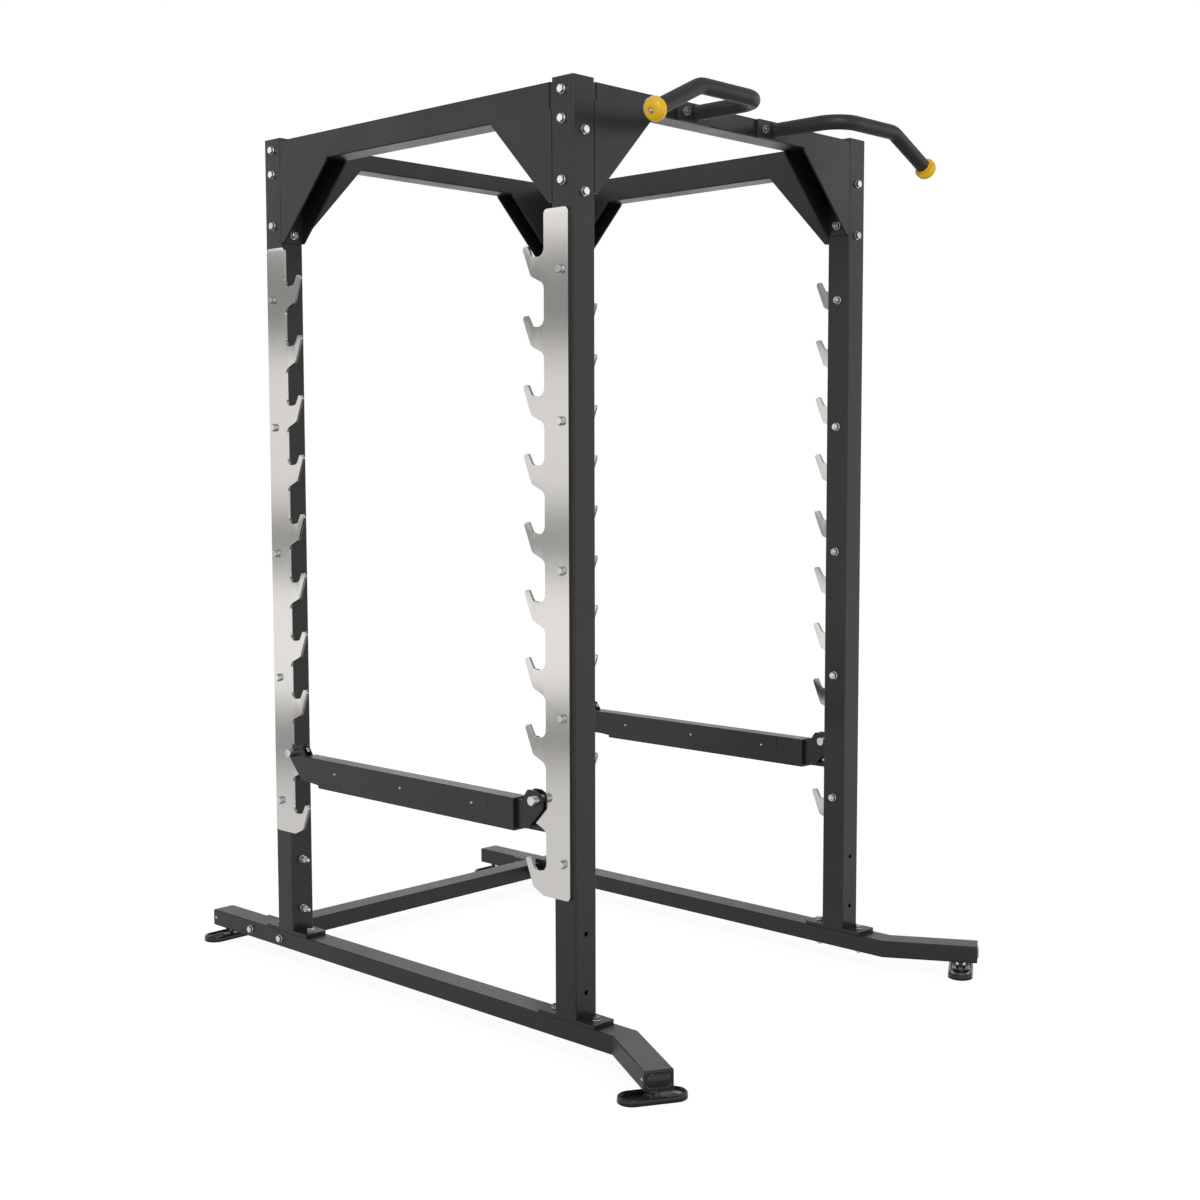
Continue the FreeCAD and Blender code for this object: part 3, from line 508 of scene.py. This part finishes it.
# ---- Pull-up handles
# Round steel tube, 40 mm, bent twice and welded to a bolted flange on the front beam. The coat is the
# frame's charcoal with a finer, duller texture for grip.
handle_paint, tree, shader, place = surface("handle_paint", (0.020, 0.020, 0.020), 0.40)
texture = grain(tree, place, 900.0, 3.0)
cloud = grain(tree, place, 9.0, 3.0)
tree.links.new(tint(tree, cloud, (0.017, 0.017, 0.017), (0.024, 0.0235, 0.023)), shader.inputs["Base Color"])
tree.links.new(spread(tree, cloud, 0.36, 0.46), shader.inputs["Roughness"])
raise_surface(tree, shader, texture, 0.30, 0.0004)


def tree_input(tree, name, kind, value):
    """A named input of a Geometry Nodes tree."""
    socket = tree.interface.new_socket(name=name, in_out="INPUT", socket_type=kind)
    if value is not None:
        socket.default_value = value
    return socket


def new_tree(name, inputs):
    """A Geometry Nodes tree with a geometry in and out and the named inputs given."""
    tree = bpy.data.node_groups.new(name, "GeometryNodeTree")
    tree_input(tree, "Geometry", "NodeSocketGeometry", None)
    for label, (kind, value) in inputs.items():
        tree_input(tree, label, kind, value)
    tree.interface.new_socket(name="Geometry", in_out="OUTPUT", socket_type="NodeSocketGeometry")
    return tree, tree.nodes.new("NodeGroupInput"), tree.nodes.new("NodeGroupOutput")


def run_tree(points, edges, tree, values, name, material, attributes=None):
    """The plain mesh that a tree makes from some points and edges."""
    seed = bpy.data.meshes.new(name + "_points")
    seed.from_pydata(points, edges, [])
    for label, (kind, data) in (attributes or {}).items():
        layer = seed.attributes.new(label, kind, "POINT")
        field = "vector" if kind == "FLOAT_VECTOR" else "value"
        flat = [number for row in data for number in row] if kind == "FLOAT_VECTOR" else data
        layer.data.foreach_set(field, flat)
    carrier = bpy.data.objects.new(name + "_carrier", seed)
    bpy.context.scene.collection.objects.link(carrier)
    modifier = carrier.modifiers.new("maker", "NODES")
    modifier.node_group = tree
    for item in tree.interface.items_tree:
        if item.in_out == "INPUT" and item.name in values:
            modifier[item.identifier] = values[item.name]
        if item.in_out == "INPUT" and item.name == "Material":
            modifier[item.identifier] = material
    bpy.context.view_layer.update()
    shape = carrier.evaluated_get(bpy.context.evaluated_depsgraph_get())
    mesh = bpy.data.meshes.new_from_object(shape)
    carrier.modifiers.remove(modifier)
    bpy.data.objects.remove(carrier)
    return mesh


def settle(mesh, name, material, body, nodes, sharp_angle=35.0):
    """Makes a piece of a plain mesh, with its doubles merged and its faces outwards."""
    form = bmesh.new()
    form.from_mesh(mesh)
    bmesh.ops.remove_doubles(form, verts=form.verts, dist=1e-6)
    return finish_piece(form, name, material, body, nodes, sharp_angle)


bent_tube, inward, outward = new_tree("bent_tube", {
    "Tube radius": ("NodeSocketFloat", 0.020),
    "Bend radius": ("NodeSocketFloat", 0.070),
    "Material": ("NodeSocketMaterial", None),
})
route = add_node(bent_tube, "GeometryNodeMeshToCurve", inputs={0: inward.outputs["Geometry"]})
bends = add_node(bent_tube, "GeometryNodeFilletCurve", {"mode": "POLY"},
                 {"Curve": route.outputs[0], "Count": 18, "Radius": inward.outputs["Bend radius"]})
section = add_node(bent_tube, "GeometryNodeCurvePrimitiveCircle",
                   inputs={"Resolution": 48, "Radius": inward.outputs["Tube radius"]})
swept = add_node(bent_tube, "GeometryNodeCurveToMesh",
                 inputs={"Curve": bends.outputs[0], "Profile Curve": section.outputs[0], "Fill Caps": True})
real = add_node(bent_tube, "GeometryNodeRealizeInstances", inputs={0: swept.outputs[0]})
painted = add_node(bent_tube, "GeometryNodeSetMaterial",
                   inputs={"Geometry": real.outputs[0], "Material": inward.outputs["Material"]})
bent_tube.links.new(painted.outputs[0], outward.inputs[0])

weld_bead, inward, outward = new_tree("weld_bead", {
    "Bead radius": ("NodeSocketFloat", 0.0028),
    "Ripple length": ("NodeSocketFloat", 0.0012),
    "Material": ("NodeSocketMaterial", None),
})
route = add_node(weld_bead, "GeometryNodeMeshToCurve", inputs={0: inward.outputs["Geometry"]})
spaced = add_node(weld_bead, "GeometryNodeResampleCurve", {"mode": "LENGTH"},
                  {"Curve": route.outputs[0], "Length": inward.outputs["Ripple length"]})
place_along = add_node(weld_bead, "GeometryNodeInputIndex").outputs[0]
wave = calculate(weld_bead, "SINE", calculate(weld_bead, "MULTIPLY", place_along, 1.57))
swell = calculate(weld_bead, "ADD", calculate(weld_bead, "MULTIPLY", wave, 0.10), 1.0)
rippled = add_node(weld_bead, "GeometryNodeSetCurveRadius",
                   inputs={"Curve": spaced.outputs[0], "Radius": swell})
section = add_node(weld_bead, "GeometryNodeCurvePrimitiveCircle",
                   inputs={"Resolution": 8, "Radius": inward.outputs["Bead radius"]})
swept = add_node(weld_bead, "GeometryNodeCurveToMesh",
                 inputs={"Curve": rippled.outputs[0], "Profile Curve": section.outputs[0], "Fill Caps": True})
swelling = add_node(weld_bead, "GeometryNodeInputRadius").outputs[0]
weld_bead.links.new(swelling, swept.inputs["Scale"])
real = add_node(weld_bead, "GeometryNodeRealizeInstances", inputs={0: swept.outputs[0]})
painted = add_node(weld_bead, "GeometryNodeSetMaterial",
                   inputs={"Geometry": real.outputs[0], "Material": inward.outputs["Material"]})
weld_bead.links.new(painted.outputs[0], outward.inputs[0])

front_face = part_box("front_beam")[0].y
beam_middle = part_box("front_beam")[1].z - 0.025
flange_thickness = 0.008
grip_line = front_face - 0.233
handle_foot = 0.166
handle_corner = 0.414
handle_end = 0.563
handle_drop = 0.072
bead_ring = 0.0205
bead_steps = 48
for side in sides:
    sign = -1 if side == "left" else 1
    corners = [
        (sign * handle_foot, front_face - flange_thickness + 0.001, beam_middle),
        (sign * handle_foot, grip_line, beam_middle),
        (sign * handle_corner, grip_line, beam_middle),
        (sign * handle_end, grip_line, beam_middle - handle_drop),
    ]
    tube = run_tree(corners, [(0, 1), (1, 2), (2, 3)], bent_tube,
                    {"Tube radius": 0.020, "Bend radius": 0.070}, f"handle_tube_{side}", handle_paint)
    ring_y = front_face - flange_thickness
    ring = [
        (sign * handle_foot + bead_ring * math.cos(math.tau * k / bead_steps), ring_y,
         beam_middle + bead_ring * math.sin(math.tau * k / bead_steps))
        for k in range(bead_steps)
    ]
    bead = run_tree(ring, [(k, (k + 1) % bead_steps) for k in range(bead_steps)], weld_bead,
                    {"Bead radius": 0.0028, "Ripple length": 0.0012}, f"handle_weld_{side}", handle_paint)
    form = bmesh.new()
    form.from_mesh(tube)
    form.from_mesh(bead)
    to_place = (Matrix.Translation((sign * handle_foot, front_face, beam_middle))
                @ Matrix.Rotation(math.pi / 2, 4, "X"))
    rings = []
    for inset, height in ((0.0, 0.0), (0.0, 0.0070), (0.0003, 0.0077), (0.0010, 0.0080), (0.0030, 0.0080)):
        outline = rounded_ring(0.136, 0.050, 0.006, inset)
        rings.append([to_place @ Vector((point.x, point.y, height)) for point in outline])
    loft(form, rings)
    finish_piece(form, f"pull_up_handle_{side}_piece", handle_paint, "frame",
                 [f"pull_up_handle_{side}"], 50.0)

# ---- Handle knobs
# Glossy yellow end caps moulded as a rim and a fat rounded button. A plug holds each in the tube and a
# bright screw in the middle tightens it.
grip_yellow, tree, shader, place = surface("grip_yellow", (0.82, 0.50, 0.006), 0.26)
cloud = grain(tree, place, 24.0, 3.0)
tree.links.new(tint(tree, cloud, (0.80, 0.475, 0.004), (0.86, 0.53, 0.008)), shader.inputs["Base Color"])
tree.links.new(spread(tree, cloud, 0.22, 0.32), shader.inputs["Roughness"])
raise_surface(tree, shader, grain(tree, place, 220.0, 2.0), 0.05, 0.0004)
shader.inputs["Coat Weight"].default_value = 0.3
shader.inputs["Coat Roughness"].default_value = 0.08

knob_profile = [(0.0167, -0.0230), (0.0167, 0.0), (0.0218, 0.0), (0.0225, 0.0007), (0.0225, 0.0074),
                (0.0219, 0.0080)]
knob_profile += [(0.0262, 0.0081)]
for step in range(9):
    angle = math.radians(-90 + 10 * step)
    knob_profile.append((0.0262 + 0.0031 * math.cos(angle), 0.0112 + 0.0031 * math.sin(angle)))
for step in range(15):
    angle = math.radians(90 * step / 14)
    knob_profile.append((0.0100 + 0.0193 * math.cos(angle) ** 0.85, 0.0185 + 0.0173 * math.sin(angle) ** 0.9))
knob_profile += [(0.0088, 0.0357), (0.0078, 0.0350), (0.0074, 0.0342), (0.0073, 0.0326)]
form = bmesh.new()
slope = Vector((0.149, 0.0, -0.072)).normalized()
knob_sides = 64
for solid in solids_of("handle_knobs"):
    sign = 1 if middle_of(solid).x > 0 else -1
    out = Vector((sign * slope.x, 0.0, slope.z))
    grip_end = Vector((sign * handle_end, grip_line, beam_middle - handle_drop))
    to_place = Matrix.Translation(grip_end) @ out.to_track_quat("Z", "Y").to_matrix().to_4x4()
    rings = []
    for radius, height in knob_profile:
        rings.append([
            to_place @ Vector((
                radius * math.cos(math.tau * k / knob_sides),
                radius * math.sin(math.tau * k / knob_sides), height))
            for k in range(knob_sides)
        ])
    loft(form, rings)
finish_piece(form, "handle_knob_pieces", grip_yellow, "frame", ["handle_knobs"], 40.0)

# ---- Bolts, washers and nuts
# Zinc-plated hex bolts, 12 mm, with a flat washer under each head and nut. They go right through the
# tubes, and the threaded end stands a few millimetres out of the nut.
fastener, inward, outward = new_tree("hex_fastener", {
    "Across flats": ("NodeSocketFloat", 0.019),
    "Head height": ("NodeSocketFloat", 0.0075),
    "Nut height": ("NodeSocketFloat", 0.010),
    "Washer radius": ("NodeSocketFloat", 0.012),
    "Washer thickness": ("NodeSocketFloat", 0.0025),
    "Thread radius": ("NodeSocketFloat", 0.006),
    "Thread length": ("NodeSocketFloat", 0.020),
    "Thread pitch": ("NodeSocketFloat", 0.00175),
    "Material": ("NodeSocketMaterial", None),
})
sizes = inward.outputs


def hex_block(tree, across_flats, height):
    """A hexagon from z = 0 up to a height, with the corners of its top turned down."""
    corner_radius = calculate(tree, "MULTIPLY", across_flats, 0.57735)
    tall = calculate(tree, "ADD", height, 0.002)
    prism = add_node(tree, "GeometryNodeMeshCylinder",
                     inputs={"Vertices": 6, "Radius": corner_radius, "Depth": tall})
    prism_lift = add_node(tree, "ShaderNodeCombineXYZ",
                          inputs={2: calculate(tree, "MULTIPLY", tall, 0.5)}).outputs[0]
    prism_up = add_node(tree, "GeometryNodeTransform",
                        inputs={"Geometry": prism.outputs[0], "Translation": prism_lift})
    flat_radius = calculate(tree, "MULTIPLY", across_flats, 0.472)
    skirt = calculate(tree, "MULTIPLY", height, 1.732)
    base_radius = calculate(tree, "ADD", flat_radius, skirt)
    cone = add_node(tree, "GeometryNodeMeshCone", inputs={
        "Vertices": 48, "Radius Top": flat_radius, "Radius Bottom": base_radius, "Depth": height})
    both = add_node(tree, "GeometryNodeMeshBoolean", {"operation": "INTERSECT", "solver": "EXACT"})
    tree.links.new(prism_up.outputs[0], both.inputs["Mesh 2"])
    tree.links.new(cone.outputs[0], both.inputs["Mesh 2"])
    return both.outputs[0]


head = hex_block(fastener, sizes["Across flats"], sizes["Head height"])
nut = hex_block(fastener, sizes["Across flats"], sizes["Nut height"])

hole_radius = calculate(fastener, "ADD", sizes["Thread radius"], 0.0004)
washer_edges = calculate(fastener, "ADD", sizes["Washer radius"], hole_radius)
washer_middle = calculate(fastener, "MULTIPLY", washer_edges, 0.5)
washer_width = calculate(fastener, "SUBTRACT", sizes["Washer radius"], hole_radius)
washer_line = add_node(fastener, "GeometryNodeCurvePrimitiveCircle",
                       inputs={"Resolution": 40, "Radius": washer_middle})
washer_section = add_node(fastener, "GeometryNodeCurvePrimitiveQuadrilateral",
                          inputs={"Width": washer_width, "Height": sizes["Washer thickness"]})
washer_edge = add_node(fastener, "GeometryNodeFilletCurve", {"mode": "POLY"},
                       {"Curve": washer_section.outputs[0], "Count": 2, "Radius": 0.0005})
washer_ring = add_node(fastener, "GeometryNodeCurveToMesh",
                       inputs={"Curve": washer_line.outputs[0], "Profile Curve": washer_edge.outputs[0]})
washer_lift = add_node(fastener, "ShaderNodeCombineXYZ",
                       inputs={2: calculate(fastener, "MULTIPLY", sizes["Washer thickness"], 0.5)}).outputs[0]
washer = add_node(fastener, "GeometryNodeTransform",
                  inputs={"Geometry": washer_ring.outputs[0], "Translation": washer_lift}).outputs[0]

shank_line = add_node(fastener, "GeometryNodeCurvePrimitiveLine",
                      inputs={"Start": (0, 0, 0), "End": (0, 0, 1)})
shank_radius = calculate(fastener, "SUBTRACT", sizes["Thread radius"], 0.0008)
shank_section = add_node(fastener, "GeometryNodeCurvePrimitiveCircle",
                         inputs={"Resolution": 24, "Radius": shank_radius})
shank = add_node(fastener, "GeometryNodeCurveToMesh",
                 inputs={"Curve": shank_line.outputs[0], "Profile Curve": shank_section.outputs[0],
                         "Fill Caps": True}).outputs[0]

thread_end = add_node(fastener, "ShaderNodeCombineXYZ", inputs={2: sizes["Thread length"]}).outputs[0]
thread_line = add_node(fastener, "GeometryNodeCurvePrimitiveLine",
                       inputs={"Start": (0, 0, 0), "End": thread_end})
half_pitch = calculate(fastener, "MULTIPLY", sizes["Thread pitch"], 0.5)
thread_steps = add_node(fastener, "GeometryNodeResampleCurve", {"mode": "LENGTH"},
                        {"Curve": thread_line.outputs[0], "Length": half_pitch})
step_number = add_node(fastener, "GeometryNodeInputIndex").outputs[0]
crest = calculate(fastener, "MULTIPLY", calculate(fastener, "MODULO", step_number, 2.0), 0.11)
ridged = calculate(fastener, "ADD", crest, 0.89)
point_taper = calculate(fastener, "ADD", calculate(fastener, "MULTIPLY", step_number, 0.14), 0.76)
thread_shape = calculate(fastener, "MINIMUM", ridged, point_taper)
ridges = add_node(fastener, "GeometryNodeSetCurveRadius",
                  inputs={"Curve": thread_steps.outputs[0], "Radius": thread_shape})
thread_section = add_node(fastener, "GeometryNodeCurvePrimitiveCircle",
                          inputs={"Resolution": 24, "Radius": sizes["Thread radius"]})
thread_skin = add_node(fastener, "GeometryNodeCurveToMesh",
                       inputs={"Curve": ridges.outputs[0], "Profile Curve": thread_section.outputs[0],
                               "Fill Caps": True})
ridge_scale = add_node(fastener, "GeometryNodeInputRadius").outputs[0]
fastener.links.new(ridge_scale, thread_skin.inputs["Scale"])
thread = thread_skin.outputs[0]

kind_of_point = add_node(fastener, "GeometryNodeInputNamedAttribute", {"data_type": "INT"},
                         {"Name": "kind"}).outputs[0]
way_of_point = add_node(fastener, "GeometryNodeInputNamedAttribute", {"data_type": "FLOAT_VECTOR"},
                        {"Name": "way"}).outputs[0]
length_of_point = add_node(fastener, "GeometryNodeInputNamedAttribute", {"data_type": "FLOAT"},
                           {"Name": "length"}).outputs[0]
turned_to = add_node(fastener, "FunctionNodeAlignRotationToVector", {"axis": "Z"},
                     {"Vector": way_of_point}).outputs[0]
stretched = add_node(fastener, "ShaderNodeCombineXYZ", inputs={0: 1.0, 1: 1.0, 2: length_of_point}).outputs[0]
together = fastener.nodes.new("GeometryNodeJoinGeometry")
for number, shape in enumerate((head, washer, nut, shank, thread)):
    chosen = add_node(fastener, "FunctionNodeCompare", {"data_type": "INT", "operation": "EQUAL"})
    fastener.links.new(kind_of_point, chosen.inputs[2])
    chosen.inputs[3].default_value = number
    copies = add_node(fastener, "GeometryNodeInstanceOnPoints", inputs={
        "Points": inward.outputs["Geometry"], "Selection": chosen.outputs[0], "Instance": shape,
        "Rotation": turned_to, "Scale": stretched})
    fastener.links.new(copies.outputs[0], together.inputs[0])
real = add_node(fastener, "GeometryNodeRealizeInstances", inputs={0: together.outputs[0]})
plated = add_node(fastener, "GeometryNodeSetMaterial",
                  inputs={"Geometry": real.outputs[0], "Material": inward.outputs["Material"]})
fastener.links.new(plated.outputs[0], outward.inputs[0])


def spans(points):
    """The lowest and the highest corner of the box round some points."""
    low = Vector([min(point[axis] for point in points) for axis in range(3)])
    high = Vector([max(point[axis] for point in points) for axis in range(3)])
    return low, high


fastener_groups = ("beam", "rack", "base", "cross_member", "handle", "rear_upright")
head_part, washer_part, nut_part, shank_part, thread_part = range(5)
head_height = 0.0075
thread_length = 0.010
shank_start = 0.001
end_depth = 0.004
widest_shank = 0.008
for group in fastener_groups:
    points = []
    kinds = []
    ways = []
    lengths = []

    def lay(spot, kind, way, length=1.0):
        """Notes one part to be put at a spot, its Z axis along a way."""
        points.append(tuple(spot))
        kinds.append(kind)
        ways.append(tuple(way))
        lengths.append(length)

    nuts = [spans(solid) for solid in solids_of(group + "_nuts")]
    for solid in solids_of(group + "_bolts"):
        low, high = spans(solid)
        size = high - low
        axis = max(range(3), key=lambda number: size[number])
        middle = (low + high) / 2
        near_low = [point for point in solid if point[axis] < low[axis] + end_depth]
        wide = max(
            (point - middle - Vector([(point - middle)[axis] if n == axis else 0.0 for n in range(3)])).length
            for point in near_low)
        head_is_low = wide > widest_shank
        outward_way = Vector([(-1.0 if head_is_low else 1.0) if n == axis else 0.0 for n in range(3)])
        seat = middle.copy()
        seat[axis] = low[axis] + head_height if head_is_low else high[axis] - head_height
        tip = middle.copy()
        tip[axis] = high[axis] if head_is_low else low[axis]
        lay(seat, head_part, outward_way)
        lay(tip, thread_part, outward_way)
        reach = (tip - seat).length - thread_length
        lay(seat + outward_way * shank_start, shank_part, -outward_way, reach)
        for nut_low, nut_high in nuts:
            nut_middle = (nut_low + nut_high) / 2
            offset = nut_middle - middle
            offset[axis] = 0.0
            between = low[axis] < nut_middle[axis] < high[axis]
            if offset.length < 0.002 and between:
                inner = nut_middle.copy()
                inner[axis] = nut_low[axis] if head_is_low else nut_high[axis]
                lay(inner, nut_part, -outward_way)
    for solid in solids_of(group + "_washers"):
        low, high = spans(solid)
        size = high - low
        axis = min(range(3), key=lambda number: size[number])
        spot = (low + high) / 2
        spot[axis] = low[axis]
        lay(spot, washer_part, Vector([1.0 if n == axis else 0.0 for n in range(3)]))
    mesh = run_tree(points, [], fastener, {"Across flats": 0.019}, group + "_fasteners", zinc_plate,
                    {"kind": ("INT", kinds), "way": ("FLOAT_VECTOR", ways), "length": ("FLOAT", lengths)})
    settle(mesh, group + "_fasteners", zinc_plate, "frame",
           [group + "_bolts", group + "_washers", group + "_nuts"], 28.0)

# ---- Small screws
# Round-headed screws with a hexagon socket, zinc plated: in the safety arms, in the rail ends and in the
# face of each knob.
button, inward, outward = new_tree("button_screw", {
    "Head radius": ("NodeSocketFloat", 0.0043),
    "Head height": ("NodeSocketFloat", 0.0024),
    "Socket across flats": ("NodeSocketFloat", 0.003),
    "Socket depth": ("NodeSocketFloat", 0.0014),
    "Material": ("NodeSocketMaterial", None),
})
sizes = inward.outputs
ball = add_node(button, "GeometryNodeMeshUVSphere", inputs={"Segments": 32, "Rings": 16, "Radius": 1.0})
ball_scale = add_node(button, "ShaderNodeCombineXYZ",
                      inputs={0: sizes["Head radius"], 1: sizes["Head radius"],
                              2: sizes["Head height"]}).outputs[0]
dome = add_node(button, "GeometryNodeTransform", inputs={"Geometry": ball.outputs[0], "Scale": ball_scale})
half_flats = calculate(button, "MULTIPLY", sizes["Socket across flats"], 0.57735)
double_depth = calculate(button, "MULTIPLY", sizes["Socket depth"], 2.0)
socket_form = add_node(button, "GeometryNodeMeshCylinder",
                       inputs={"Vertices": 6, "Radius": half_flats, "Depth": double_depth})
socket_lift = add_node(button, "ShaderNodeCombineXYZ", inputs={2: sizes["Head height"]}).outputs[0]
socket_tool = add_node(button, "GeometryNodeTransform",
                       inputs={"Geometry": socket_form.outputs[0], "Translation": socket_lift})
cut_head = add_node(button, "GeometryNodeMeshBoolean", {"operation": "DIFFERENCE", "solver": "EXACT"})
button.links.new(dome.outputs[0], cut_head.inputs["Mesh 1"])
button.links.new(socket_tool.outputs[0], cut_head.inputs["Mesh 2"])
screw_way = add_node(button, "GeometryNodeInputNamedAttribute", {"data_type": "FLOAT_VECTOR"},
                     {"Name": "way"}).outputs[0]
screw_turn = add_node(button, "FunctionNodeAlignRotationToVector", {"axis": "Z"},
                      {"Vector": screw_way}).outputs[0]
copies = add_node(button, "GeometryNodeInstanceOnPoints", inputs={
    "Points": inward.outputs["Geometry"], "Instance": cut_head.outputs[0], "Rotation": screw_turn})
real = add_node(button, "GeometryNodeRealizeInstances", inputs={0: copies.outputs[0]})
plated = add_node(button, "GeometryNodeSetMaterial",
                  inputs={"Geometry": real.outputs[0], "Material": inward.outputs["Material"]})
button.links.new(plated.outputs[0], outward.inputs[0])


def lay_screws(node, body, way_of, sizes_of_head, material):
    """Button heads on a node's screws: way_of gives the way out from a screw's middle."""
    points = []
    ways = []
    for solid in solids_of(node):
        middle = middle_of(solid)
        way = way_of(middle)
        top = max(point.dot(way) for point in solid)
        axis_foot = middle - way * middle.dot(way)
        points.append(tuple(axis_foot + way * (top - sizes_of_head["Head height"])))
        ways.append(tuple(way))
    mesh = run_tree(points, [], button, sizes_of_head, node + "_heads", material,
                    {"way": ("FLOAT_VECTOR", ways)})
    return settle(mesh, node + "_heads", material, body, [node], 40.0)


for side in sides:
    top_of_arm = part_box(f"safety_arm_screws_{side}")[1].z

    def arm_way(middle):
        """Screws near the arm's top face point up, and the others out of its left face."""
        return Vector((0.0, 0.0, 1.0)) if middle.z > top_of_arm - 0.012 else Vector((-1.0, 0.0, 0.0))

    lay_screws(f"safety_arm_screws_{side}", f"safety_arm_{side}", arm_way,
               {"Head radius": 0.0043, "Head height": 0.0023,
                "Socket across flats": 0.0028, "Socket depth": 0.0012},
               zinc_plate)


def rail_screw_way(middle):
    """Out of the rail's outer side face."""
    sign = 1 if middle.x > 0 else -1
    turn = math.radians(30.0) if middle.y < 0 else 0.0
    return Vector((sign * math.cos(turn), math.sin(turn), 0.0))


lay_screws("rail_cap_screws", "frame", rail_screw_way,
           {"Head radius": 0.0050, "Head height": 0.0026,
            "Socket across flats": 0.0034, "Socket depth": 0.0014},
           zinc_plate)


def knob_screw_way(middle):
    """Along the end of the handle."""
    return Vector((slope.x if middle.x > 0 else -slope.x, 0.0, slope.z))


lay_screws("handle_knob_screws", "frame", knob_screw_way,
           {"Head radius": 0.0070, "Head height": 0.0034,
            "Socket across flats": 0.0050, "Socket depth": 0.0020},
           zinc_plate)
